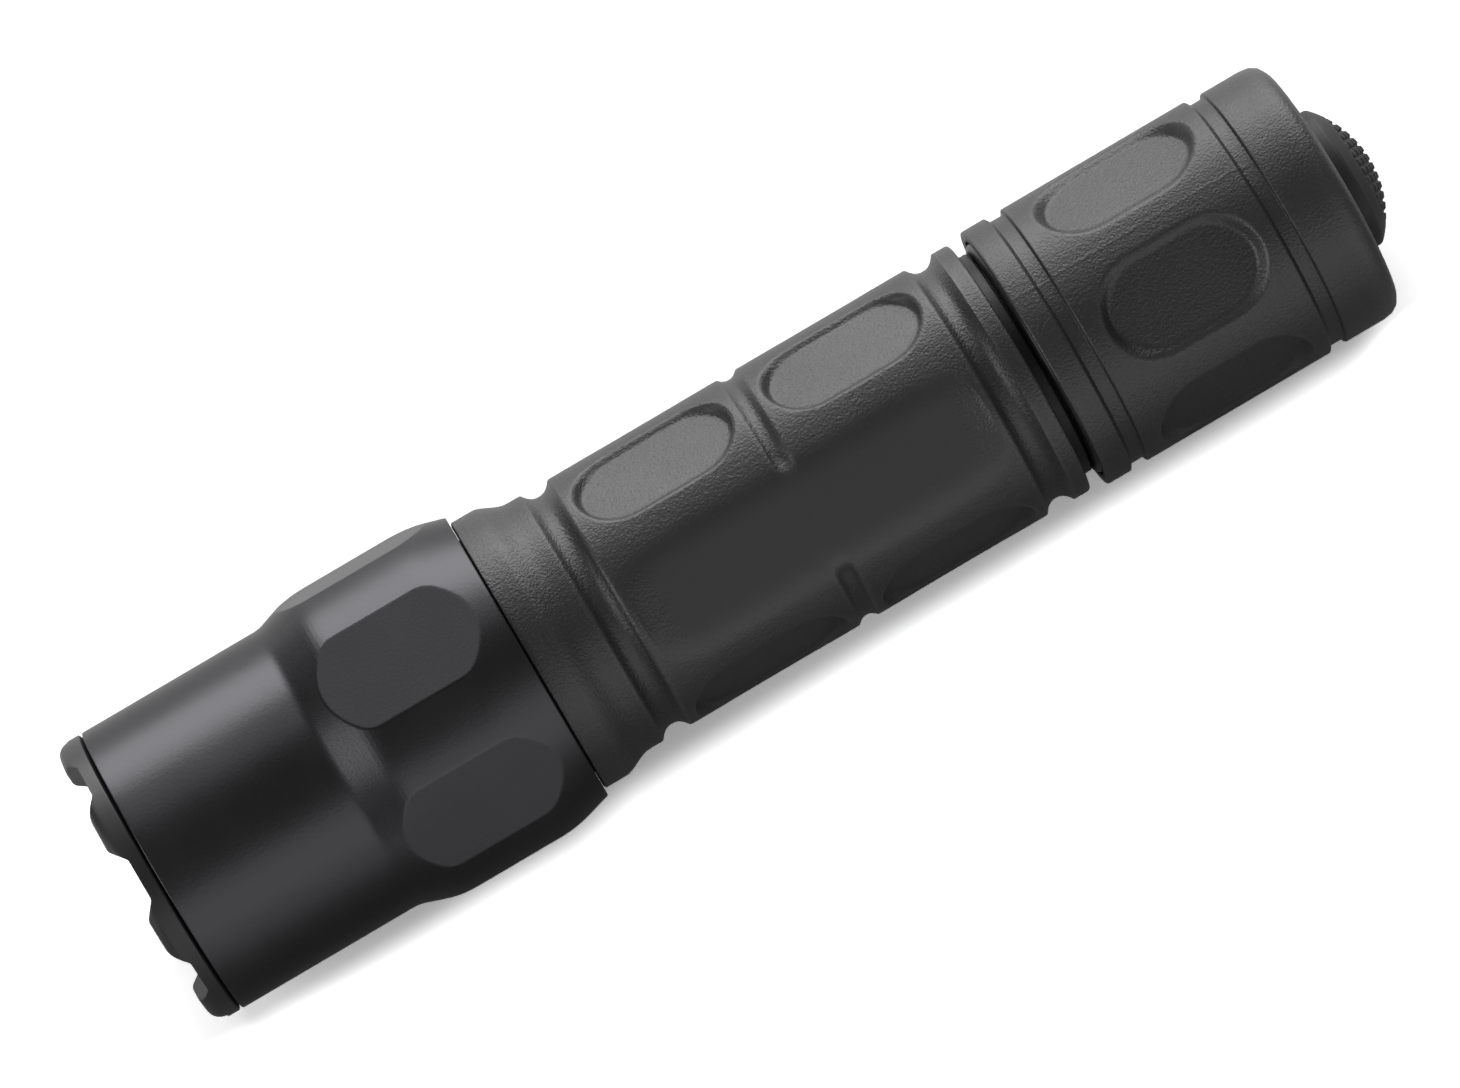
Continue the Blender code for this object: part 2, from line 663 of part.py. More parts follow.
def build_heat_sink(axis, finishes, drills):
    outer = reflector_radius
    cavity = sink_front + HEAT_SINK_WEB
    third = HEAT_SINK_LENGTH / 6
    profile = [(sink_front, 0)]
    for k in (0, 2, 4):
        profile += [
            (sink_front + third * k, outer), (sink_front + third * (k + 1), outer),
            (sink_front + third * (k + 1), outer - HEAT_SINK_GROOVE),
            (sink_front + third * (k + 2), outer - HEAT_SINK_GROOVE),
        ]
    profile = profile[:-2]
    profile += [(sink_rear, outer), (sink_rear, DRIVER_CAVITY), (cavity, DRIVER_CAVITY), (cavity, 0)]
    sink = turned("heat_sink", axis, sink_front, profile, finishes["raw_aluminium"], sides=SHELL_SIDES)
    cut(sink, drills)
    turned("driver_board", axis, driver_front, [
        (driver_front, 0), (driver_front, DRIVER_CAVITY - FIT),
        (driver_rear, DRIVER_CAVITY - FIT), (driver_rear, 0),
    ], finishes["board"])
    face = driver_front - FIT
    turned("driver_inductor", axis, face, [
        (face - INDUCTOR_HEIGHT, 0), (face - INDUCTOR_HEIGHT, INDUCTOR_RADIUS), (face, INDUCTOR_RADIUS), (face, 0),
    ], finishes["ferrite"], sides=SMALL_SIDES)
    spring("front_contact_spring", axis, driver_rear + FIT, cell_front - FIT,
           FRONT_SPRING_RADIUS, FRONT_SPRING_RADIUS, FRONT_SPRING_TURNS, FRONT_SPRING_WIRE, finishes["gold"])


# ================================================================ grip body
def build_grip_body(axis, material):
    front_land = front_root + THREAD_DEPTH + THREAD_LAND
    front_groove_floor = front_land - SEAL_GROOVE_DEPTH
    tail_groove_floor = tail_neck - SEAL_GROOVE_DEPTH
    thread_front = neck_front + NECK_LEAD
    relief = THREAD_LAND
    shoulder = []
    for k in range(6):
        share = (1 - math.cos(math.pi * k / 5)) / 2
        radius = collar_radius + (body_radius - collar_radius) * share
        shoulder.append((shoulder_front + SHOULDER_LENGTH * k / 5, radius))

    def profile(turn):
        return [
            (neck_front, body_bore),
            (neck_front, front_root - relief),
            (thread_front, front_root - relief),
            *thread_rows(turn, thread_front, front_thread_end, thread_front,
                         front_root, front_root + THREAD_DEPTH),
            (front_thread_end, front_land),
            (front_groove, front_land),
            (front_groove, front_groove_floor),
            (front_groove + SEAL_GROOVE_WIDTH, front_groove_floor),
            (front_groove + SEAL_GROOVE_WIDTH, front_land),
            (collar_front, front_land),
            (collar_front, collar_radius),
            *shoulder,
            *groove_rows(shoulder_rear + SHOULDER_LAND, GROOVE_LENGTH, body_radius, GROOVE_DEPTH),
            *groove_rows(grip_middle - NOTCH_LENGTH / 2, NOTCH_LENGTH, body_radius, NOTCH_DEPTH),
            *groove_rows(grip_rear, GROOVE_LENGTH, body_radius, GROOVE_DEPTH),
            (flange_rear - FLANGE_EDGE, body_radius),
            (flange_rear, body_radius - FLANGE_EDGE),
            (flange_rear, tail_neck),
            (tail_groove_front, tail_neck),
            (tail_groove_front, tail_groove_floor),
            (tail_groove_rear, tail_groove_floor),
            (tail_groove_rear, tail_neck),
            (tail_thread_front, tail_neck),
            *thread_rows(turn, tail_thread_front, tail_thread_rear, tail_thread_front,
                         tail_root, tail_root + THREAD_DEPTH),
            (tail_thread_rear, tail_root - relief),
            (neck_rear, tail_root - relief),
            (neck_rear, body_bore),
        ]

    body = turned("grip_body", axis, neck_front, profile, material, sides=SHELL_SIDES)
    top = body_radius + PANEL_EDGE_DEPTH
    bm = bmesh.new()
    panel_inner = NOTCH_LENGTH / 2
    spans = (
        (grip_front + PANEL_MARGIN, grip_middle - panel_inner - PANEL_MARGIN / 2),
        (grip_middle + panel_inner + PANEL_MARGIN / 2, grip_rear - PANEL_MARGIN),
    )
    for sixth in (1, 2, 4, 5):
        for front, rear in spans:
            add_panel(bm, BODY_CLOCK + sixth * math.pi / 3, front, rear, PANEL_HALF_WIDTH, panel_floor, top)
    pad_floor = body_radius - PAD_DEPTH
    front, rear = grip_front + PAD_MARGIN, grip_rear - PAD_MARGIN
    rise = PAD_DEPTH + PANEL_EDGE_DEPTH
    ramp = PAD_RAMP * rise / PAD_DEPTH
    half = PANEL_HALF_WIDTH * 1.6
    for side in (0, 1):
        outline = [
            (front + PAD_RAMP - ramp, pad_floor + rise), (front + PAD_RAMP, pad_floor),
            (rear - PAD_RAMP, pad_floor), (rear - PAD_RAMP + ramp, pad_floor + rise),
        ]
        add_prism(bm, outline, -half, half, BODY_CLOCK + side * math.pi)
    cut(body, cutter("grip_cutters", bm, axis))


def build_power(axis, finishes):
    turned("contact_sleeve", axis, neck_front,
           tube_profile(neck_front, neck_rear, sleeve_bore, sleeve_radius), finishes["raw_aluminium"])
    names = ("front_cell", "rear_cell")
    for k in range(CELL_COUNT):
        front = cell_front + k * (CELL_LENGTH + FIT)
        can = front + CELL_TERMINAL_HEIGHT
        rear = front + CELL_LENGTH
        turned(names[k], axis, front, [
            (front, 0), (front, CELL_TERMINAL_RADIUS), (can, CELL_TERMINAL_RADIUS),
            (can, CELL_RADIUS - CELL_EDGE), (can + CELL_EDGE, CELL_RADIUS),
            (rear - CELL_EDGE, CELL_RADIUS), (rear, CELL_RADIUS - CELL_EDGE), (rear, 0),
        ], finishes["cell_wrap"])
    front_floor = front_root + THREAD_DEPTH + THREAD_LAND - SEAL_GROOVE_DEPTH
    seal_ring("head_oring", axis, front_groove + SEAL_GROOVE_WIDTH / 2, front_floor + FIT,
              ORING_SECTION, finishes["rubber"])
    seal_ring("tail_oring", axis, tail_groove_front + SEAL_GROOVE_WIDTH / 2,
              tail_neck - SEAL_GROOVE_DEPTH + FIT, ORING_SECTION, finishes["rubber"])


# ================================================================ tailcap and switch
def build_tailcap_shell(cap, material):
    ring = cap_radius + CAP_RING_STEP
    end = cap_radius - CAP_END_STEP
    ring_end = cap_front + CAP_RING_LENGTH
    end_front = cap_rear - CAP_END_LENGTH
    relief = cap_thread_root + THREAD_LAND
    arc = [math.radians(a) for a in (30, 60, 90)]
    rounding = [(cap_rear - CAP_END_ROUND * (1 - math.sin(a)), end - CAP_END_ROUND * (1 - math.cos(a))) for a in arc]

    def profile(turn):
        return [
            (cap_front, cap_mouth),
            (cap_front, ring - FIT),
            (cap_front + FIT, ring),
            *step_groove_rows(ring_end, CAP_GROOVE_LENGTH, CAP_GROOVE_SLOPE, ring, CAP_GROOVE_DEPTH, cap_radius),
            *step_groove_rows(end_front - CAP_GROOVE_LENGTH, CAP_GROOVE_LENGTH, CAP_GROOVE_SLOPE,
                              cap_radius, CAP_GROOVE_DEPTH, end),
            (cap_rear - CAP_END_ROUND, end),
            *rounding,
            (cap_rear, button_hole),
            (web_front + BUTTON_SEAL_SECTION + FIT, button_hole),
            (web_front + BUTTON_SEAL_SECTION + FIT, seal_pocket),
            (web_front, seal_pocket),
            (web_front, cap_bore),
            (cap_thread_rear + THREAD_DEPTH, cap_bore),
            (cap_thread_rear + THREAD_DEPTH, relief),
            (cap_thread_rear, relief),
            *reversed(thread_rows(turn, cap_thread_front, cap_thread_rear, tail_thread_front,
                                  cap_bore, cap_thread_root)),
            (cap_thread_front, cap_mouth),
        ]

    shell = turned("tailcap_shell", cap, cap_front, profile, material, sides=SHELL_SIDES)
    bm = bmesh.new()
    front = ring_end + CAP_GROOVE_LENGTH + CAP_PANEL_MARGIN
    rear = end_front - CAP_GROOVE_LENGTH - CAP_PANEL_MARGIN
    for k in range(CAP_PANEL_COUNT):
        add_panel(bm, CAP_CLOCK + 2 * math.pi * k / CAP_PANEL_COUNT, front, rear,
                  CAP_PANEL_HALF_WIDTH, cap_panel_floor, cap_radius + PANEL_EDGE_DEPTH)
    cut(shell, cutter("cap_panel_cutters", bm, cap))


def build_switch(cap, finishes):
    retainer = turned("switch_retainer", cap, retainer_front,
                      tube_profile(retainer_front, retainer_rear, retainer_bore, module_radius), finishes["brass"])
    bm = bmesh.new()
    half = RETAINER_SLOT / 2
    outline = [(retainer_front - half, -half), (retainer_front + half, -half),
               (retainer_front + half, half), (retainer_front - half, half)]
    add_prism(bm, outline, -2 * module_radius, 2 * module_radius)
    cut(retainer, cutter("spanner_slot", bm, cap))
    stud_hole = STUD_RADIUS + FIT
    turned("switch_housing", cap, switch_front, [
        (switch_front, retainer_bore), (switch_front, module_radius), (switch_rear, module_radius),
        (switch_rear, SWITCH_WELL_RADIUS), (well_floor, SWITCH_WELL_RADIUS), (well_floor, stud_hole),
        (pocket_floor, stud_hole), (pocket_floor, retainer_bore),
    ], finishes["black_plastic"])
    turned("spring_seat", cap, seat_front, [
        (seat_front, 0), (seat_front, SEAT_RADIUS), (seat_rear, SEAT_RADIUS), (seat_rear, STUD_RADIUS),
        (stud_rear, STUD_RADIUS), (stud_rear, 0),
    ], finishes["brass"])
    spring("return_spring", cap, well_floor + FIT, flange_of_button - FIT, RETURN_SPRING_RADIUS,
           RETURN_SPRING_RADIUS, RETURN_SPRING_TURNS, RETURN_SPRING_WIRE, finishes["steel"])
    seal_ring("button_seal", cap, web_front + BUTTON_SEAL_SECTION / 2, button_hole,
              BUTTON_SEAL_SECTION - FIT, finishes["rubber"])


def build_button(button, finishes):
    socket = PLUNGER_RADIUS + FIT
    socket_end = flange_of_button + BUTTON_SOCKET_DEPTH
    limit = math.asin(BUTTON_RADIUS / BUTTON_DOME_RADIUS)
    dome = []
    for k in range(7):
        angle = limit * (1 - k / 6)
        dome.append((button_rear - BUTTON_DOME_RADIUS * (1 - math.cos(angle)), BUTTON_DOME_RADIUS * math.sin(angle)))
    turned("tail_button", button, flange_of_button, [
        (socket_end, 0), (socket_end, socket), (flange_of_button, socket),
        (flange_of_button, button_flange), (button_shoulder, button_flange), (button_shoulder, BUTTON_RADIUS),
        (dome_edge - BUTTON_EDGE, BUTTON_RADIUS), *dome[1:-1], (button_rear, 0),
    ], finishes["rubber"], sides=SHELL_SIDES)
    tip_rear = plunger_front + PLUNGER_TIP_LENGTH
    turned("plunger_tip", button, plunger_front, [
        (plunger_front, 0), (plunger_front, PLUNGER_RADIUS), (tip_rear, PLUNGER_RADIUS),
        (tip_rear, PLUNGER_RADIUS - PLUNGER_TIP_FLANGE), (tip_rear + PLUNGER_TIP_LENGTH, PLUNGER_RADIUS - PLUNGER_TIP_FLANGE),
        (tip_rear + PLUNGER_TIP_LENGTH, 0),
    ], finishes["brass"], sides=SMALL_SIDES)
    rod_front = tip_rear + FIT
    bore = PLUNGER_RADIUS - PLUNGER_TIP_FLANGE + FIT
    bore_end = tip_rear + PLUNGER_TIP_LENGTH + FIT
    turned("plunger", button, rod_front, [
        (bore_end, 0), (bore_end, bore), (rod_front, bore), (rod_front, PLUNGER_RADIUS),
        (socket_end - FIT, PLUNGER_RADIUS), (socket_end - FIT, 0),
    ], finishes["black_plastic"], sides=SMALL_SIDES)


# ================================================================ whole light
def make_finishes():
    return {
        "anodised": finish("black_anodised_aluminium", (0.018, 0.018, 0.019), 0.38, 0.6),
        "grip": finish("black_moulded_nylon", (0.030, 0.030, 0.031), 0.62),
        "black_plastic": finish("black_plastic", (0.02, 0.02, 0.02), 0.5),
        "white_plastic": finish("white_plastic", (0.75, 0.75, 0.72), 0.5),
        "rubber": finish("black_rubber", (0.012, 0.012, 0.012), 0.7),
        "red_wire": finish("red_silicone", (0.45, 0.02, 0.02), 0.5),
        "glass": finish("clear_window", (0.9, 0.93, 0.95), 0.05, 0.0, 0.9),
        "reflector": finish("vapour_plated_reflector", (0.85, 0.86, 0.88), 0.08, 1.0),
        "phosphor": finish("led_phosphor", (0.85, 0.75, 0.25), 0.3),
        "ceramic": finish("led_ceramic", (0.75, 0.75, 0.7), 0.4),
        "board": finish("circuit_board", (0.03, 0.12, 0.05), 0.4),
        "ferrite": finish("ferrite", (0.05, 0.05, 0.055), 0.5),
        "raw_aluminium": finish("bare_aluminium", (0.68, 0.69, 0.70), 0.35, 1.0),
        "brass": finish("brass", (0.72, 0.52, 0.22), 0.3, 1.0),
        "gold": finish("gold_plated_steel", (0.83, 0.62, 0.28), 0.25, 1.0),
        "steel": finish("stainless_steel", (0.6, 0.6, 0.62), 0.3, 1.0),
        "cell_wrap": finish("cell_wrap", (0.05, 0.07, 0.12), 0.35),
    }


def build_light():
    clear_scene()
    finishes = make_finishes()
    axis = joint_empty("beam_axis", 0)
    build_bezel_ring(axis, finishes["grip"])
    build_head_shell(axis, finishes["anodised"])
    build_optics(axis, finishes)
    drills = build_light_source(axis, finishes)
    build_wires(axis, finishes)
    build_heat_sink(axis, finishes, drills)
    build_grip_body(axis, finishes["grip"])
    build_power(axis, finishes)
    carriage = joint_empty("cap_advance", cap_front, axis)
    spring("cell_spring", carriage, cells_rear + FIT, seat_front - FIT, CELL_SPRING_TIP, CELL_SPRING_BASE,
           CELL_SPRING_TURNS, CELL_SPRING_WIRE, finishes["gold"])
    cap = joint_empty("cap_twist", cap_front, carriage)
    build_tailcap_shell(cap, finishes["grip"])
    build_switch(cap, finishes)
    button = joint_empty("button_press", flange_of_button, cap)
    build_button(button, finishes)


build_light()
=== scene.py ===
"""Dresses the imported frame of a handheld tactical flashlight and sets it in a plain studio.

Lengths in the pieces' classes are millimetres, and those in the studio are metres where no comment says
otherwise. A station is a distance behind the tips of the bezel teeth, measured along the beam axis, and
a turn is an angle about that axis from the top towards +Y.
Every new piece is a profile carried round the axis, computed as one numpy grid.
"""

from __future__ import annotations

import logging
import math
from dataclasses import dataclass, field
from enum import Enum
from typing import Any, Callable, Mapping, Sequence

import bpy
import numpy as np
from mathutils import Matrix, Vector

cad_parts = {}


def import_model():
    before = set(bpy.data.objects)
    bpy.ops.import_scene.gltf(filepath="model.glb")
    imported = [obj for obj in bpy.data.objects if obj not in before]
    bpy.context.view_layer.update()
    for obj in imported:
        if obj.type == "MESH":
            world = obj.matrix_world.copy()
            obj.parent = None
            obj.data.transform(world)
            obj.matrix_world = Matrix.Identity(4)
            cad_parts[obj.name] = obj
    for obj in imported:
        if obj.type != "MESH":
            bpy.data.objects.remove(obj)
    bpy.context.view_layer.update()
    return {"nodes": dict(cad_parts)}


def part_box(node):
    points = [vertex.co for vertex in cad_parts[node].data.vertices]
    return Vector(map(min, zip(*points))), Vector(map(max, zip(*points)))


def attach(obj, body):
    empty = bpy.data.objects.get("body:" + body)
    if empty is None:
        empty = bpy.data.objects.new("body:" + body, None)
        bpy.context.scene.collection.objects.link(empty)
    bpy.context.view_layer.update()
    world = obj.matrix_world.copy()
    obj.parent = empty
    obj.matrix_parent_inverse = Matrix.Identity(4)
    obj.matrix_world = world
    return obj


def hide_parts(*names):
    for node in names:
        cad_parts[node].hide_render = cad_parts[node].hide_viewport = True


log = logging.getLogger("flashlight")

MM = 0.001
GAP = 0.3  # gap the frame leaves between pieces that seat on each other
EASE = 0.1  # cut of an edge that only has to lose its sharpness

Grid = np.ndarray


# ============================================================ numbers and shapes
def smooth(value: Grid, low: float, high: float) -> Grid:
    """Climbs from 0 at low to 1 at high along 3t^2 - 2t^3."""
    share = np.clip((value - low) / (high - low), 0.0, 1.0)
    return share * share * (3 - 2 * share)


def soft_min(first: Grid, second: Grid, blend: float) -> Grid:
    """The smaller of two heights, with the corner where they meet rounded over the length blend.

    With h = 1/2 + (second - first) / (2 blend), held between 0 and 1, the result is
    h first + (1 - h) second - blend h (1 - h).
    """
    share = np.clip(0.5 + 0.5 * (second - first) / blend, 0.0, 1.0)
    return share * first + (1 - share) * second - blend * share * (1 - share)


def soft_max(first: Grid, second: Grid, blend: float) -> Grid:
    """The larger of two heights, rounded as soft_min rounds the smaller."""
    return -soft_min(-first, -second, blend)


def turn_from(turn: Grid, centre: float) -> Grid:
    """The signed angle from a centre to each turn, between -pi and pi."""
    return (turn - centre + math.pi) % (2 * math.pi) - math.pi


def refine(marks: Grid, step_at: Callable[[Grid], Grid]) -> Grid:
    """Splits each gap between rising marks into equal parts no longer than the step wanted there.

    Args:
        marks: Rising numbers.
        step_at: Gives the longest step allowed at each of an array of places.

    Returns:
        The marks with the new ones between them, both ends included.
    """
    gaps = np.diff(marks)
    counts = np.maximum(1, np.ceil(gaps / step_at(marks[:-1] + gaps / 2) - 1e-9)).astype(int)
    owner = np.repeat(np.arange(len(gaps)), counts)
    rank = np.arange(counts.sum()) - np.repeat(np.cumsum(counts) - counts, counts)
    return np.append(marks[owner] + gaps[owner] * rank / counts[owner], marks[-1])


def rounded(corners: Sequence[tuple[float, float, float]], closed: bool, steps: int = 7) -> Grid:
    """Rounds the corners of a chain of straight lines.

    A corner P with the cut c becomes the curve (1-t)^2 A + 2t(1-t) P + t^2 B, where A and B lie
    c from P along its two sides.

    Args:
        corners: (station, radius, cut) for each corner.
        closed: Whether the last corner joins the first.
        steps: Points on each rounded corner.

    Returns:
        An (n, 2) array of stations and radii, without doubles.
    """
    data = np.asarray(corners, dtype=float)
    points, cuts = data[:, :2], data[:, 2:]
    if not closed:
        cuts[[0, -1]] = 0.0

    def towards(neighbours: Grid) -> Grid:
        away = neighbours - points
        return away / np.maximum(np.linalg.norm(away, axis=1, keepdims=True), 1e-9)

    before = points + cuts * towards(np.roll(points, 1, axis=0))
    after = points + cuts * towards(np.roll(points, -1, axis=0))
    t = np.linspace(0.0, 1.0, steps)[None, :, None]
    curve = (1 - t) ** 2 * before[:, None] + 2 * t * (1 - t) * points[:, None] + t**2 * after[:, None]
    chain = curve.reshape(-1, 2)
    keep = np.append(True, np.linalg.norm(np.diff(chain, axis=0), axis=1) > 1e-6)
    chain = chain[keep]
    return np.vstack([chain, chain[:1]]) if closed else chain


# ============================================================ the beam axis and lathe meshes
@dataclass(frozen=True)
class BeamAxis:
    """The axis that the light's round pieces share, in the frame's metres."""

    tip_x: float
    height: float

    @classmethod
    def from_frame(cls) -> "BeamAxis":
        """Reads the axis from the bezel ring and the grip."""
        grip_low, grip_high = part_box("grip_body")
        return cls(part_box("bezel_ring")[1][0], (grip_low[2] + grip_high[2]) / 2)

    def span(self, node: str) -> tuple[float, float]:
        """The stations of a node's front and rear."""
        low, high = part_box(node)
        return (self.tip_x - high[0]) / MM, (self.tip_x - low[0]) / MM

    def radius(self, node: str) -> float:
        """A node's largest radius, from its width across the axis."""
        low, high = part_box(node)
        return (high[1] - low[1]) / 2 / MM

    def points(self, station: Grid, radius: Grid, turn: Grid) -> Grid:
        """Turns stations, radii and turns into points in metres.

        x = tip - station, y = radius sin(turn), z = height + radius cos(turn).
        """
        return np.stack(
            [
                self.tip_x - station * MM,
                radius * np.sin(turn) * MM,
                self.height + radius * np.cos(turn) * MM,
            ],
            axis=-1,
        )


def lathe_mesh(name: str, points: Grid, ring: bool) -> bpy.types.Mesh:
    """Joins a grid of points, one row per profile point and one column per turn, into a closed solid.

    Neighbours in the grid share a quad. Columns always join last to first, and rows do so on a ring.
    Otherwise the first and last rows are poles: each becomes one point with a fan of triangles.

    Args:
        name: The mesh's name.
        points: A (rows, columns, 3) array in metres.
        ring: Whether the profile is a closed loop.

    Returns:
        The mesh, with its faces pointing out.
    """
    rows, columns, _ = points.shape
    body = points if ring else points[1:-1]
    index = np.arange(body.shape[0] * columns).reshape(-1, columns)
    below = np.vstack([index, index[:1]]) if ring else index
    right = np.roll(below, -1, axis=1)
    quads = np.stack([below[:-1], right[:-1], right[1:], below[1:]], axis=-1).reshape(-1, 4)
    vertices = body.reshape(-1, 3)
    fans = np.empty((0, 3), dtype=int)
    if not ring:
        first, last = len(vertices), len(vertices) + 1
        vertices = np.vstack([vertices, points[0].mean(axis=0), points[-1].mean(axis=0)])
        start = np.stack([right[0], below[0], np.full(columns, first)], axis=-1)
        end = np.stack([below[-1], right[-1], np.full(columns, last)], axis=-1)
        fans = np.vstack([start, end])
    corners = vertices - vertices.mean(axis=0)
    halves = np.vstack([quads[:, [0, 1, 2]], quads[:, [0, 2, 3]], fans])
    a, b, c = corners[halves[:, 0]], corners[halves[:, 1]], corners[halves[:, 2]]
    if np.einsum("ij,ij->", a, np.cross(b, c)) < 0:
        quads, fans = quads[:, ::-1], fans[:, ::-1]
    mesh = bpy.data.meshes.new(name)
    mesh.from_pydata(vertices, [], quads.tolist() + fans.tolist())
    mesh.update()
    return mesh


def facing(right: Vector, up: Vector, back: Vector, place: Vector) -> Matrix:
    """The matrix of a camera or lamp at a place, whose own x, y and z run along the three directions."""
    rows = [(right[row], up[row], back[row], place[row]) for row in range(3)]
    return Matrix([*rows, (0, 0, 0, 1)])


# ============================================================ materials
def linear(colour: str) -> tuple[float, float, float, float]:
    """Turns an sRGB hex colour into the linear colour that a shader takes."""
    shares = np.array([int(colour.lstrip("#")[k : k + 2], 16) / 255 for k in (0, 2, 4)])
    value = np.where(shares <= 0.04045, shares / 12.92, ((shares + 0.055) / 1.055) ** 2.4)
    return (*value.tolist(), 1.0)


def add_node(
    tree: bpy.types.NodeTree,
    kind: str,
    settings: Mapping[Any, Any] | None = None,
    links: Mapping[Any, bpy.types.NodeSocket] | None = None,
) -> bpy.types.Node:
    """Adds a node with its settings and what feeds it.

    Args:
        tree: The tree that gets the node.
        kind: The node's type.
        settings: Property names, or input names or numbers, and their values.
        links: Input names or numbers, and the output that feeds each.

    Returns:
        The new node.
    """
    node = tree.nodes.new(kind)
    for key, value in (settings or {}).items():
        if isinstance(key, str) and hasattr(node, key):
            setattr(node, key, value)
        else:
            node.inputs[key].default_value = value
    for key, socket in (links or {}).items():
        tree.links.new(socket, node.inputs[key])
    return node


@dataclass(frozen=True)
class Relief:
    """Fine unevenness of a surface, as bump."""

    size: float  # mm across one grain
    depth: float  # mm from low to high
    detail: float = 2.0  # octaves of finer noise within one grain


METALLIC = (("Metallic", 1.0),)


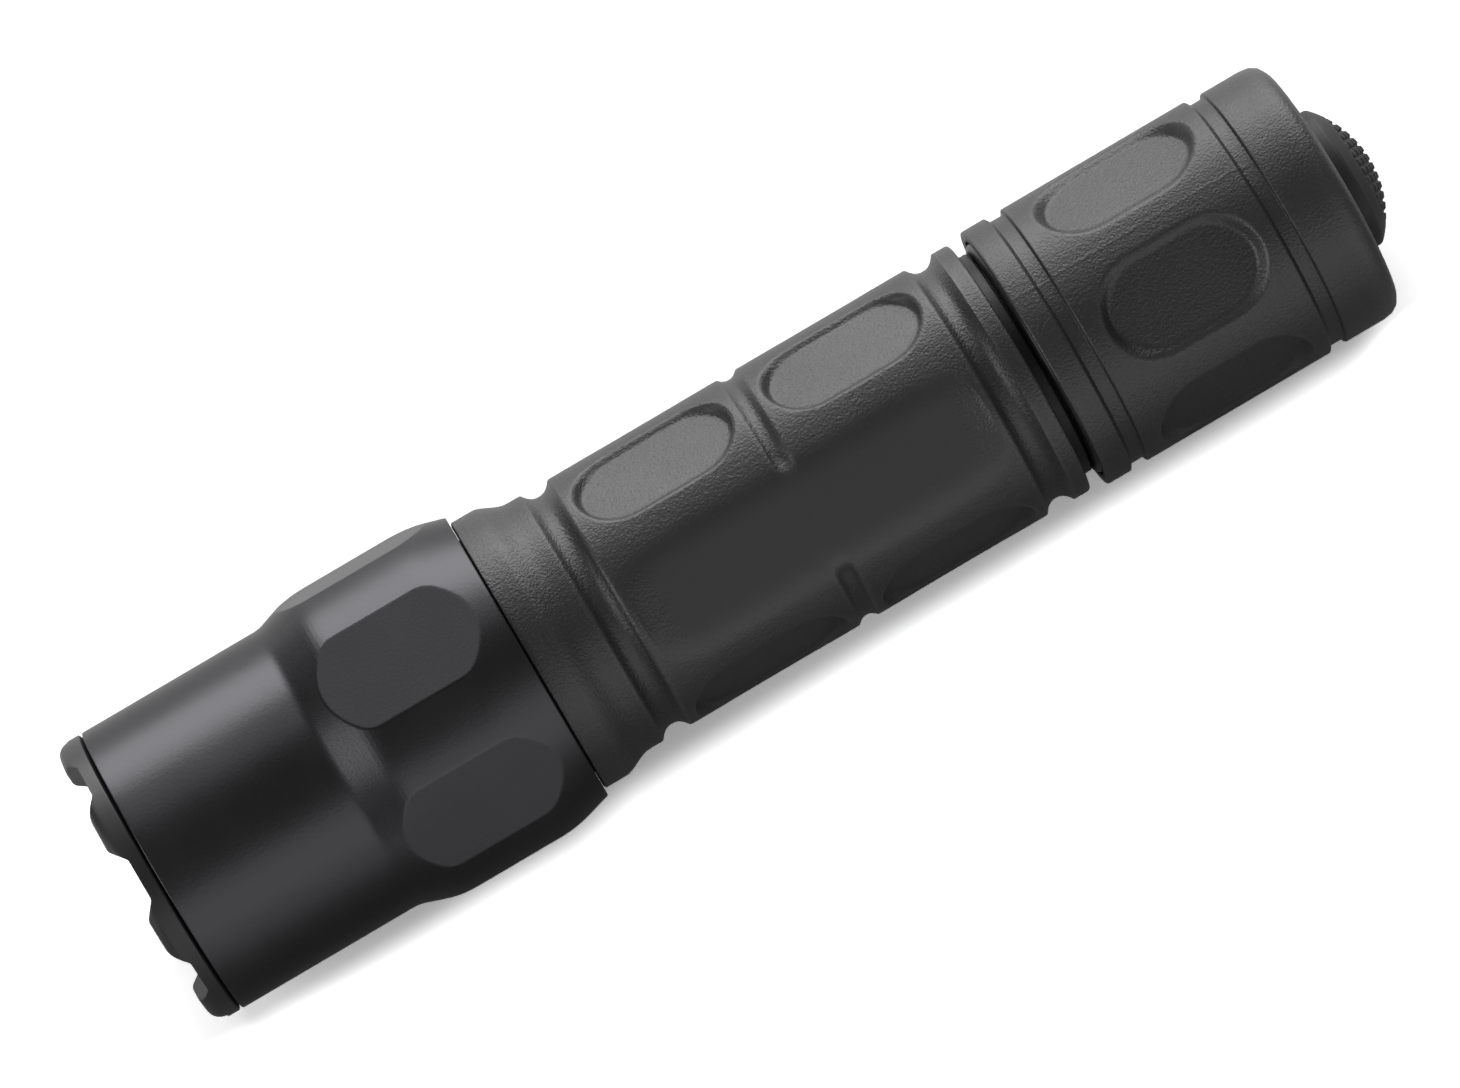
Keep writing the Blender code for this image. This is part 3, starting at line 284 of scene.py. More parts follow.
@dataclass(frozen=True)
class Finish:
    """One material: what it is, how its surface was made, and what that gives the eye."""

    name: str
    colour: str
    roughness: float
    shade: str | None = None  # second colour, mixed in by broad mottling
    mottle: float = 6.0  # mm across one patch of the mottling
    spread: float = 0.0  # how far the roughness strays either way with the mottling
    reliefs: tuple[Relief, ...] = ()
    edge_highlight: str | None = None  # lighter colour of edges that stand out, a painted highlight, where the mesh marks them
    plain: float | None = None  # roughness of smoother faces, where the mesh has the attribute "plain"
    plain_grain: float | None = None  # share of the relief that stays on those faces
    edge_tint: tuple[float, float] | None = None  # a metal's share of glancing reflection, off and on them
    patch_range: tuple[float, float] = (0.32, 0.68)  # noise values stretched to the mottling's full range
    sockets: tuple[tuple[str, float], ...] = ()  # other inputs of the shader

    def build(self) -> bpy.types.Material:
        """Builds the node tree on Object coordinates."""
        material = bpy.data.materials.new(self.name)
        material.use_nodes = True
        tree = material.node_tree
        tree.nodes.clear()
        settings = {"Roughness": self.roughness, **dict(self.sockets)}
        shader = add_node(tree, "ShaderNodeBsdfPrincipled", settings)
        add_node(tree, "ShaderNodeOutputMaterial", links={"Surface": shader.outputs["BSDF"]})
        place = add_node(tree, "ShaderNodeTexCoord").outputs["Object"]
        patches = add_node(
            tree,
            "ShaderNodeTexNoise",
            {"Scale": 1 / (self.mottle * MM), "Detail": 4.0, "Roughness": 0.55},
            {"Vector": place},
        ).outputs["Fac"]
        low, high = self.patch_range
        evened = add_node(
            tree, "ShaderNodeMapRange", {"From Min": low, "From Max": high}, {"Value": patches}
        ).outputs["Result"]
        flat = None
        if self.plain is not None:
            flat = add_node(tree, "ShaderNodeAttribute", {"attribute_name": "plain"}).outputs["Fac"]
        sources = {
            "Base Color": self.tone(tree, evened),
            "Roughness": self.gloss(tree, evened, flat),
            "Specular Tint": self.glance(tree, flat),
            "Normal": self.grain(tree, place, flat),
        }
        for name, source in sources.items():
            if source is not None:
                tree.links.new(source, shader.inputs[name])
        return material

    def tone(self, tree: bpy.types.NodeTree, evened: bpy.types.NodeSocket) -> bpy.types.NodeSocket:
        """Mottles the colour, and lightens it on edges that stand out, a painted highlight.

        Args:
            tree: The material's tree.
            evened: The mottling, from 0 to 1.

        Returns:
            The colour.
        """
        colour = add_node(
            tree,
            "ShaderNodeMix",
            {"data_type": "RGBA", 6: linear(self.colour), 7: linear(self.shade or self.colour)},
            {0: evened},
        ).outputs[2]
        if self.edge_highlight:
            # Painted highlight: edges that stand out are mixed towards a lighter colour.
            highlit = add_node(tree, "ShaderNodeAttribute", {"attribute_name": "edge_highlight"}).outputs["Fac"]
            colour = add_node(
                tree, "ShaderNodeMix", {"data_type": "RGBA", 7: linear(self.edge_highlight)}, {0: highlit, 6: colour}
            ).outputs[2]
        return colour

    def gloss(
        self, tree: bpy.types.NodeTree, evened: bpy.types.NodeSocket, flat: bpy.types.NodeSocket | None
    ) -> bpy.types.NodeSocket | None:
        """Varies the roughness with the mottling, and sets it for the smoother faces.

        Args:
            tree: The material's tree.
            evened: The mottling, from 0 to 1.
            flat: The attribute that marks the smoother faces, if the finish has any.

        Returns:
            The roughness, or None where it is even.
        """
        if not self.spread:
            return None
        rough = add_node(
            tree,
            "ShaderNodeMapRange",
            {"To Min": self.roughness - self.spread, "To Max": self.roughness + self.spread},
            {"Value": evened},
        ).outputs["Result"]
        if flat is None:
            return rough
        return add_node(tree, "ShaderNodeMix", {"B": self.plain}, {"Factor": flat, "A": rough}).outputs[0]

    def glance(
        self, tree: bpy.types.NodeTree, flat: bpy.types.NodeSocket | None
    ) -> bpy.types.NodeSocket | None:
        """Dims what a metal mirrors at a glancing angle.

        Args:
            tree: The material's tree.
            flat: The attribute that marks the smoother faces.

        Returns:
            The tint, or None for a finish that keeps its full reflection.
        """
        if self.edge_tint is None or flat is None:
            return None
        off, on = ((share, share, share, 1.0) for share in self.edge_tint)
        return add_node(tree, "ShaderNodeMix", {"data_type": "RGBA", 6: off, 7: on}, {0: flat}).outputs[2]

    def grain(
        self, tree: bpy.types.NodeTree, place: bpy.types.NodeSocket, flat: bpy.types.NodeSocket | None
    ) -> bpy.types.NodeSocket | None:
        """Stacks the reliefs, fainter on the smoother faces.

        Args:
            tree: The material's tree.
            place: Object coordinates.
            flat: The attribute that marks the smoother faces, if the finish has any.

        Returns:
            The bumped normal, or None for a finish without relief.
        """
        links: dict[str, bpy.types.NodeSocket] = {}
        if self.plain_grain is not None and flat is not None:
            links["Strength"] = add_node(
                tree, "ShaderNodeMapRange", {"To Min": 1.0, "To Max": self.plain_grain}, {"Value": flat}
            ).outputs["Result"]
        for relief in self.reliefs:
            links["Height"] = add_node(
                tree,
                "ShaderNodeTexNoise",
                {"Scale": 1 / (relief.size * MM), "Detail": relief.detail, "Roughness": 0.6},
                {"Vector": place},
            ).outputs["Fac"]
            bump = add_node(tree, "ShaderNodeBump", {"Distance": relief.depth * MM, "Strength": 1.0}, links)
            links["Normal"] = bump.outputs["Normal"]
        return links.get("Normal")


class Surface(Enum):
    """The finishes of the light's pieces. A grain too fine to show is drawn as coarse as it needs to show."""

    # Black hard-anodised aluminium: blasted before anodising, so it is satin, near black and even. Its
    # milled flats are a little smoother than its turned faces.
    HEAD = Finish(
        "hard_anodised_aluminium", "#444446", 0.34, "#474749", 9.0, 0.02, (Relief(0.32, 0.011),),
        plain=0.28, edge_tint=(0.82, 0.76), sockets=METALLIC,
    )
    # Glass-filled nylon from a spark-eroded mould: matt charcoal with a fine pebble grain, which the polished
    # pads keep only a trace of. Its raised edges get a lighter colour, a painted highlight.
    GRIP = Finish(
        "textured_glass_filled_nylon", "#1e1e1f", 0.42, "#212122", 7.0, 0.03,
        (Relief(0.25, 0.075, 1.5), Relief(0.8, 0.015)),
        edge_highlight="#2a2a2b", plain=0.46, plain_grain=0.15, sockets=(("Specular IOR Level", 0.65),),
    )
    # The same nylon on the neck under the tailcap, darker and less reflective: painted shade, where the neck
    # sits deep between the grip's flange and the tailcap.
    NECK = Finish(
        "glass_filled_nylon_painted_shade", "#0a0a0b", 0.45, "#0d0d0e", 2.0, 0.05, (Relief(0.22, 0.02),),
        sockets=(("Specular IOR Level", 0.3),),
    )
    # The same nylon from a polished mould: smoother, and its edges get a lighter colour, a painted highlight.
    RING = Finish(
        "smooth_glass_filled_nylon", "#19191a", 0.42, "#1c1c1d", 5.0, 0.03, (Relief(0.25, 0.004),),
        edge_highlight="#2c2c2d",
    )
    # Silicone rubber button: dull black with a soft sheen, and a lighter colour on its edges, a painted
    # highlight.
    BUTTON = Finish(
        "moulded_silicone_rubber", "#1c1c1d", 0.6, "#202021", 3.0, 0.04, (Relief(0.2, 0.008),),
        edge_highlight="#2a2a2b",
    )
    # Nitrile O-rings with a film of grease: black and a little shiny.
    SEAL = Finish("greased_nitrile_rubber", "#141414", 0.38, "#191919", 2.0, 0.06, (Relief(0.3, 0.004),))
    # Vapour-plated reflector: a mirror with slight orange peel from the lacquer under the plating.
    REFLECTOR = Finish(
        "vapour_plated_aluminium", "#e9eaec", 0.07, "#e2e4e7", 5.0, 0.01, (Relief(1.1, 0.010, 1.0),),
        sockets=METALLIC,
    )
    # Ceramic carrier of the light source: white, fine and slightly glossy.
    CERAMIC = Finish("alumina_ceramic", "#dcdad2", 0.42, "#d3d1c8", 1.5, 0.03, (Relief(0.1, 0.002),))
    # Yellow phosphor under its clear dome.
    PHOSPHOR = Finish(
        "phosphor_under_silicone", "#e3c64e", 0.30, "#d9b83c", 1.0, 0.03, (Relief(0.15, 0.003),),
        sockets=(("Coat Weight", 1.0), ("Coat Roughness", 0.04)),
    )
    # Natural white nylon, moulded.
    WHITE_NYLON = Finish("moulded_white_nylon", "#dedcd4", 0.5, "#d6d4cb", 2.0, 0.04, (Relief(0.2, 0.004),))
    # Circuit board under green solder mask.
    BOARD = Finish("solder_masked_board", "#1d4a2a", 0.36, "#1a4326", 2.5, 0.04, (Relief(0.5, 0.004),))
    # Sintered ferrite: dark grey, dry.
    FERRITE = Finish("sintered_ferrite", "#353538", 0.55, "#3b3b3e", 0.8, 0.05, (Relief(0.12, 0.006),))
    # Turned aluminium, not coated.
    BARE_METAL = Finish(
        "turned_aluminium", "#c3c5c8", 0.34, "#babcc0", 3.0, 0.05, (Relief(0.25, 0.003),),
        sockets=METALLIC,
    )
    # Stainless steel screws and spring wire.
    STEEL = Finish(
        "stainless_steel", "#b9babd", 0.28, "#aeb0b3", 2.0, 0.05, (Relief(0.2, 0.002),),
        sockets=METALLIC,
    )
    # Gold flash on the contact springs.
    GOLD = Finish(
        "gold_flashed_wire", "#dcb765", 0.24, "#d2aa56", 2.0, 0.04, (Relief(0.2, 0.002),),
        sockets=METALLIC,
    )
    # Turned brass of the switch.
    BRASS = Finish(
        "turned_brass", "#c9a254", 0.30, "#bc9446", 2.5, 0.05, (Relief(0.2, 0.003),),
        sockets=METALLIC,
    )
    # Switch housing: plain black plastic.
    HOUSING = Finish("moulded_black_acetal", "#232324", 0.45, "#272728", 3.0, 0.04, (Relief(0.2, 0.004),))
    # Shrink sleeve round the cells.
    SLEEVE = Finish("plain_shrink_sleeve", "#3b4658", 0.33, "#364051", 8.0, 0.03, (Relief(1.5, 0.010),))
    # Silicone insulation of the two wires.
    RED_WIRE = Finish("red_silicone_insulation", "#b0261f", 0.45, "#a4221c", 1.5, 0.03, (Relief(0.2, 0.003),))
    BLACK_WIRE = Finish(
        "black_silicone_insulation", "#1b1b1b", 0.45, "#212121", 1.5, 0.03, (Relief(0.2, 0.003),),
    )
    # Toughened glass window with a coating that tints its reflections a little.
    WINDOW = Finish(
        "coated_window_glass", "#f4f8fa", 0.02, "#f1f6f9", 12.0, 0.0,
        sockets=(("Transmission Weight", 1.0), ("IOR", 1.5)),
    )

    def material(self) -> bpy.types.Material:
        """The finish's material, built the first time that it is asked for."""
        found = bpy.data.materials.get(self.value.name)
        return found or self.value.build()


# ============================================================ turned pieces
@dataclass
class TurnedPiece:
    """A closed solid turned about the beam axis, whose subclasses shape it further."""

    axis: BeamAxis
    name: str = "turned_piece"
    node: str = ""
    body: str = "light"
    slot: str = ""
    surface: Surface = Surface.GRIP
    ring: bool = True
    sharp: float = 40.0  # degrees between faces that keep a crisp edge
    coarse: float = 0.8  # mm, the longest step along the profile
    coarse_turn: float = 3.0  # degrees, the longest step round the axis
    corner_steps: int = 7  # points on each rounded corner of the profile
    edge_highlight_height: float = 0.04  # mm that an edge stands out from what is round it to take the full painted highlight

    def corners(self) -> list[tuple[float, float, float]]:
        """The profile as (station, radius, cut) corners."""
        raise NotImplementedError

    def step_along(self, station: Grid, radius: Grid) -> Grid:
        """The longest step along the profile, in mm, at each place."""
        return np.full_like(station, self.coarse)

    def step_round(self, turn: Grid) -> Grid:
        """The longest step round the axis, in degrees, at each turn."""
        return np.full_like(turn, self.coarse_turn)

    def shape(self, station: Grid, radius: Grid, turn: Grid) -> tuple[Grid, Grid]:
        """Moves the turned surface's points, given as full grids. This one leaves them where they are."""
        return station, radius

    def profile(self) -> tuple[Grid, Grid]:
        """The profile's stations and radii, split as finely as the piece asks."""
        chain = rounded(self.corners(), self.ring, self.corner_steps)
        length = np.append(0.0, np.cumsum(np.linalg.norm(np.diff(chain, axis=0), axis=1)))
        marks = refine(length, lambda at: np.full_like(at, self.coarse))

        def place(at: Grid) -> tuple[Grid, Grid]:
            """The station and radius at each length along the chain."""
            return np.interp(at, length, chain[:, 0]), np.interp(at, length, chain[:, 1])

        marks = refine(marks, lambda at: self.step_along(*place(at)))
        return place(marks[:-1] if self.ring else marks)

    def turns(self) -> Grid:
        """The turns of the columns, split as finely as the piece asks."""
        marks = np.linspace(0.0, 360.0, round(360 / self.coarse_turn) + 1)
        return np.radians(refine(marks, lambda at: self.step_round(np.radians(at)))[:-1])

    def edge_highlight(self, radius: Grid) -> Grid:
        """How far each point stands out from its neighbours along and round the piece, from 0 to 1, which
        sets its painted highlight.
        """
        around = sum(np.roll(radius, shift, axis=axis) for axis in (0, 1) for shift in (-2, -1, 1, 2)) / 8
        return np.clip((radius - around) / self.edge_highlight_height, 0.0, 1.0)

    def plain(self, station: Grid, radius: Grid, turn: Grid) -> Grid:
        """Which points lie on a face of its own finish, as 1, and which don't, as 0."""
        return np.zeros_like(radius)

    def build(self) -> bpy.types.Object:
        """Makes the piece, finishes it and puts it on its body in place of its node."""
        stations, radii = self.profile()
        turns = self.turns()
        grids = [np.repeat(values[:, None], len(turns), axis=1) for values in (stations, radii)]
        station, radius = self.shape(*grids, turns[None, :])
        points = self.axis.points(station, radius, np.broadcast_to(turns, station.shape))
        mesh = lathe_mesh(self.name, points, self.ring)
        rows = slice(None) if self.ring else slice(1, -1)
        marks = {"edge_highlight": self.edge_highlight(radius[rows]), "plain": self.plain(station, radius, turns[None, :])[rows]}
        for name, values in marks.items():
            shares = np.zeros(len(mesh.vertices), dtype=np.float32)
            shares[: values.size] = values.ravel()
            mesh.attributes.new(name, "FLOAT", "POINT").data.foreach_set("value", shares)
        return self.dress(mesh)

    def dress(self, mesh: bpy.types.Mesh) -> bpy.types.Object:
        """Links the mesh as an object with its finish, on its body, for its node."""
        piece = bpy.data.objects.new(self.name, mesh)
        bpy.context.scene.collection.objects.link(piece)
        mesh.materials.append(self.surface.material())
        mesh.shade_smooth()
        mesh.set_sharp_from_angle(angle=math.radians(self.sharp))
        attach(piece, self.body)
        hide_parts(self.node)
        return piece


@dataclass
class BezelRing(TurnedPiece):
    """The ring that holds the lens, cut into teeth at the front."""

    name: str = "crenellated_bezel"
    node: str = "bezel_ring"
    slot: str = "bezel_ring"
    surface: Surface = Surface.RING
    coarse: float = 0.25
    coarse_turn: float = 1.5
    teeth: int = 8
    clock: float = math.radians(21.3)  # turn of the first notch from the top
    depth: float = 1.28
    mouth: float = 3.65  # half the notch's width at the tooth tips
    floor: float = 2.05  # half its width at the floor
    notch_round: float = 0.14  # rounding of the notch's corners, as a share of its depth
    notch_edge: float = 0.1  # rounding where the notch meets the front
    notch_lean: float = 0.02  # slope left in the floor, which keeps the rows of points apart
    notch_least: float = 0.02  # depth under which nothing is cut
    flank: tuple[float, float] = (0.10, 0.30)  # radians from the notch's middle that hold its flanks
    flank_step: float = 0.4  # degrees
    tip_edge: float = 0.35  # cut of the teeth's inner edge
    front_edge: float = 1.15  # cut of their outer edge
    band: float = 2.45  # station of the ring's rear edge
    seam_depth: float = 0.8  # how deep the wall of the seam runs in under the head
    seam_gap: float = 0.03  # how far the ring stays in front of the head
    lip: float = 0.7
    aperture: float = 11.9
    lens_radius: float = 12.7
    skirt: float = 13.5

    def corners(self) -> list[tuple[float, float, float]]:
        """Up the front face, over the rounded edge, back along the band and in under the head."""
        outer = self.axis.radius(self.node)
        rear = self.axis.span(self.node)[1]
        head = self.axis.span("head_shell")[0]
        seat = self.band + self.lip
        bore = self.lens_radius + GAP
        return [
            (0.0, self.aperture, self.tip_edge),
            (0.0, outer, self.front_edge),
            (self.band, outer, EASE),
            (head - self.seam_gap, outer - self.seam_depth, 0.0),
            (head - self.seam_gap, self.skirt, 0.0),
            (rear, self.skirt, EASE),
            (rear, bore, EASE),
            (seat, bore, 0.0),
            (seat, self.aperture, 0.15),
        ]

    def step_round(self, turn: Grid) -> Grid:
        """Fine on the flanks of the notches."""
        pitch = 2 * math.pi / self.teeth
        away = np.abs((turn - self.clock + pitch / 2) % pitch - pitch / 2)
        near, far = self.flank
        return np.where((away > near) & (away < far), self.flank_step, self.coarse_turn)

    def shape(self, station: Grid, radius: Grid, turn: Grid) -> tuple[Grid, Grid]:
        """Cuts the notches into the rounded front.

        With v = radius sin(angle from the notch), a notch reaches back by the depth times a ramp
        that falls from 1 at the floor's edge to 0 at the mouth, rounded at both ends. What stands
        in front of that is moved back to it.
        """
        pitch = 2 * math.pi / self.teeth
        away = (turn - self.clock + pitch / 2) % pitch - pitch / 2
        across = np.abs(radius * np.sin(away))
        ramp = (self.mouth - across) / (self.mouth - self.floor)
        ramp = soft_min(ramp, np.ones_like(ramp), self.notch_round)
        back = self.depth * soft_max(ramp, np.zeros_like(ramp), self.notch_round)
        moved = soft_max(station, back + self.notch_lean * station, self.notch_edge)
        return np.where(back > self.notch_least, moved, station), radius


@dataclass
class HeadShell(TurnedPiece):
    """The metal head: a straight barrel, a bulge with six flats, and a taper to the grip."""

    name: str = "head_with_flats"
    node: str = "head_shell"
    slot: str = "head_shell"
    surface: Surface = Surface.HEAD
    coarse: float = 3.0
    coarse_turn: float = 2.0
    corner_steps: int = 6
    barrel: float = 14.6
    barrel_length: float = 18.7
    flare_length: float = 4.5
    taper_length: float = 4.8
    rear_step: float = 0.15  # how far the rear edge stands out over the barrel
    flats: int = 6
    edge: float = 0.05  # rounding of the flats' edges
    mouth: float = 13.8
    mouth_length: float = 3.0
    bore: float = 13.0
    rear_bore: float = 13.45
    seal_length: float = 3.3  # how deep the rear bore runs in
    skin: float = 0.2  # how far outside the barrel or the mouth the outer faces start
    cut_start: float = 1.5  # from the start of the flare to where the flats first cut it
    cone_margin: float = 1.0  # how far past a cone's end the rows stay fine
    cone_step: float = 0.14
    face_step: float = 0.7
    flat_edge: tuple[float, float] = (16.5, 19.5)  # degrees from a flat's middle that hold its edge
    flat_edge_step: float = 0.35  # degrees
    flat_step: float = 0.9  # degrees

    def corners(self) -> list[tuple[float, float, float]]:
        """From the mouth along the outside to the rear edge, and back along the bore."""
        front, rear = self.axis.span(self.node)
        bulge = self.axis.radius(self.node)
        barrel_end = front + self.barrel_length
        seal_front = rear - self.seal_length
        return [
            (front, self.mouth, EASE),
            (front, self.barrel, 0.14),
            (barrel_end, self.barrel, 0.55),
            (barrel_end + self.flare_length, bulge, 1.1),
            (rear - self.taper_length, bulge, 1.1),
            (rear, self.barrel + self.rear_step, 0.16),
            (rear, self.rear_bore, EASE),
            (seal_front, self.rear_bore, EASE),
            (seal_front, self.bore, EASE),
            (front + self.mouth_length, self.bore, EASE),
            (front + self.mouth_length, self.mouth, EASE),
        ]

    def step_along(self, station: Grid, radius: Grid) -> Grid:
        """Fine where the ends of the flats run out on the cones."""
        front, rear = self.axis.span(self.node)
        flare = front + self.barrel_length
        margin = self.cone_margin
        front_end = (station > flare + self.cut_start) & (station < flare + self.flare_length + margin)
        rear_end = (station > rear - self.taper_length - margin) & (station < rear - margin)
        cones = (front_end | rear_end) & (radius > self.barrel)
        outside = np.where(cones, self.cone_step, self.face_step)
        return np.where(radius > self.mouth + self.skin, outside, self.coarse)

    def step_round(self, turn: Grid) -> Grid:
        """Fine across the flats' edges."""
        half = math.pi / self.flats
        away = np.degrees(np.abs((turn + half) % (2 * half) - half))
        near, far = self.flat_edge
        within = np.where(away > near, self.flat_edge_step, self.flat_step)
        return np.where(away < far, within, self.coarse_turn)

    def shape(self, station: Grid, radius: Grid, turn: Grid) -> tuple[Grid, Grid]:
        """Cuts the flats: the radius is at most apothem / cos(angle from the flat's middle)."""
        cut = soft_min(radius, self.flat(turn) + 0 * station, self.edge)
        return station, np.where(radius > self.barrel + self.skin, cut, radius)

    def flat(self, turn: Grid) -> Grid:
        """The radius of the nearest flat's plane at each turn."""
        pitch = 2 * math.pi / self.flats
        return self.axis.height / MM / np.cos((turn + pitch / 2) % pitch - pitch / 2)

    def plain(self, station: Grid, radius: Grid, turn: Grid) -> Grid:
        """The flats are milled, and the rest is turned."""
        return 1.0 * ((np.abs(radius - self.flat(turn)) < self.edge) & (radius > self.barrel))


@dataclass(frozen=True)
class Recess:
    """A shallow oval pocket in a round wall, with a flat floor and sloping sides."""

    front: float  # stations of its two ends
    rear: float
    turn: float  # turn of its middle
    half_width: float
    floor: float  # height of the floor over the axis
    wall: float = 0.55  # width of the sloping side
    edge: float = 0.22  # share of that width over which each edge of the side is rounded
    elsewhere: float = 1e3  # width given to the far side of the piece, which leaves it uncut
    widest: float = 1.2  # radians from the middle past which the floor's plane stops climbing

    def inset(self, station: Grid, radius: Grid, turn: Grid) -> Grid:
        """The distance in from the outline, in mm, negative outside.

        The outline is all points half_width from the straight line between the centres of the
        two round ends, with width measured across the pocket as radius sin(angle).
        """
        centre = (self.front + self.rear) / 2
        reach = (self.rear - self.front) / 2 - self.half_width
        along = np.maximum(np.abs(station - centre) - reach, 0.0)
        angle = turn_from(turn, self.turn)
        across = np.where(np.abs(angle) < math.pi / 2, radius * np.sin(angle), self.elsewhere)
        return self.half_width - np.hypot(along, across)

    def cut(self, station: Grid, radius: Grid, turn: Grid) -> Grid:
        """The radius left: down a straight side to the floor, which is floor / cos(angle from the middle)."""
        angle = np.clip(turn_from(turn, self.turn), -self.widest, self.widest)
        floor = self.floor / np.cos(angle)
        share = self.inset(station, radius, turn) / self.wall
        share = soft_max(soft_min(share, np.ones_like(share), self.edge), np.zeros_like(share), self.edge)
        return radius + (np.minimum(floor, radius) - radius) * share


@dataclass
class GripBody(TurnedPiece):
    """The moulded grip: collar, shoulder, three grooves, eight recesses, two smooth pads and a neck."""

    name: str = "moulded_grip"
    node: str = "grip_body"
    slot: str = "grip_body"
    corner_steps: int = 4
    coarse: float = 3.0
    coarse_turn: float = 4.0
    sharp: float = 50.0
    clock: float = math.radians(34)
    bore: float = 9.4
    front_neck: float = 12.3
    seal_floor: float = 11.35
    seal_width: float = 1.9
    land: float = 0.6
    seam_gap: float = 0.03  # how far the seam's wall stays behind the head
    seam_shift: float = 0.13  # how far the collar's edge leans forward over it
    seam_depth: float = 0.4
    collar_length: float = 1.9
    shoulder_length: float = 3.3
    shoulder_land: float = 1.4
    shoulder_points: int = 13
    grip_radius: float = 13.03
    groove_length: float = 2.9
    groove_depth: float = 0.95
    groove_power: float = 2.4  # the higher, the squarer the groove
    notch_length: float = 2.0
    notch_depth: float = 0.52
    notch_power: float = 2.2
    notch_fade: tuple[float, float] = (19.5, 29.0)  # degrees from a pad's middle over which it deepens
    flange_length: float = 1.7
    flange_edge: float = 0.35
    tail_neck: float = 11.5
    tail_land: float = 1.0
    tail_groove_floor: float = 10.35
    thread_land: float = 0.5
    thread_root: float = 10.8
    thread_depth: float = 0.6
    thread_front_slope: float = 0.01  # length of the step down to the root
    end_taper: float = 0.1  # how much lower than the root the rear end is
    thread_length: float = 6.0
    thread_end: float = 0.8  # smooth length behind the thread
    thread_fade: tuple[float, float] = (0.5, 0.8)  # length over which the ridge runs out in front and behind
    thread_steep: float = 1.5  # rise of the ridge's flanks, in ridge heights per half pitch
    thread_base: float = 0.25  # how far that rise starts under the root, in ridge heights
    pitch: float = 1.5
    pad_floor: float = 12.03
    pad_margin: float = 1.9
    pad_ramp: float = 4.2
    pad_blend: float = 0.65
    pad_rise: float = 0.3  # how far over the grip the pads' ends climb
    ramp_end: float = 1.3  # radius of the quarter circle, in ramps
    ramp_climb: float = 9.0  # rise per ramp past it
    smooth_ends: tuple[float, float] = (2.2, 4.2)  # distance from the grooves over which the grain fades
    smooth_sides: tuple[float, float] = (4.5, 5.3)  # distance from a pad's middle over which it comes back
    recess_half_width: float = 4.7
    recess_floor: float = 11.88
    recess_margin: float = 0.9
    recess_gap: float = 1.75  # from the middle of the notch to the recesses' near ends
    skin: float = 0.2  # how far under a face its points are still counted
    outer_skin: float = 0.02  # the same for the grip's outermost face
    thread_skin: float = 0.12  # and for the thread's root
    uncut: float = 0.3  # length in front of the rear flange's edge that stays as turned
    neck_start: float = 0.02  # from that edge to where the neck's painted shade starts
    ridge_start: float = 0.005  # from the thread's front to where the ridge may start
    ridge_past: float = 0.2  # how far behind the thread's end it may still show
    widest: float = 1.1  # radians from a pad's middle past which its plane stops climbing
    fine_reach: float = 4.6  # length of each recess's end with fine rows
    fine_step: float = 0.2  # over the recesses' ends and the thread
    plain_step: float = 0.9
    shoulder_step: float = 0.35
    neck_step: float = 0.30
    wall_turns: tuple[float, float] = (17.0, 22.5)  # degrees from a recess's middle that hold its side
    wall_step: float = 0.62  # degrees
    rib_step: float = 2.0  # degrees
    floor_step: float = 1.7  # degrees
    stations: dict[str, float] = field(default_factory=dict)

    def __post_init__(self) -> None:
        """Works out the stations along the grip from its frame node."""
        front, rear = self.axis.span(self.node)
        collar = self.axis.span("head_shell")[1] + GAP
        shoulder = collar + self.collar_length
        first = shoulder + self.shoulder_length + self.shoulder_land
        thread_rear = rear - self.thread_end
        thread_front = thread_rear - self.thread_length
        seal_rear = thread_front - self.thread_land
        flange_rear = seal_rear - self.seal_width - self.tail_land
        last = flange_rear - self.flange_length - self.groove_length
        self.stations = {
            "front": front,
            "rear": rear,
            "collar": collar,
            "shoulder": shoulder,
            "first": first,
            "grip_front": first + self.groove_length,
            "middle": (first + self.groove_length + last) / 2,
            "grip_rear": last,
            "flange_rear": flange_rear,
            "seal_rear": seal_rear,
            "thread_front": thread_front,
            "thread_rear": thread_rear,
        }

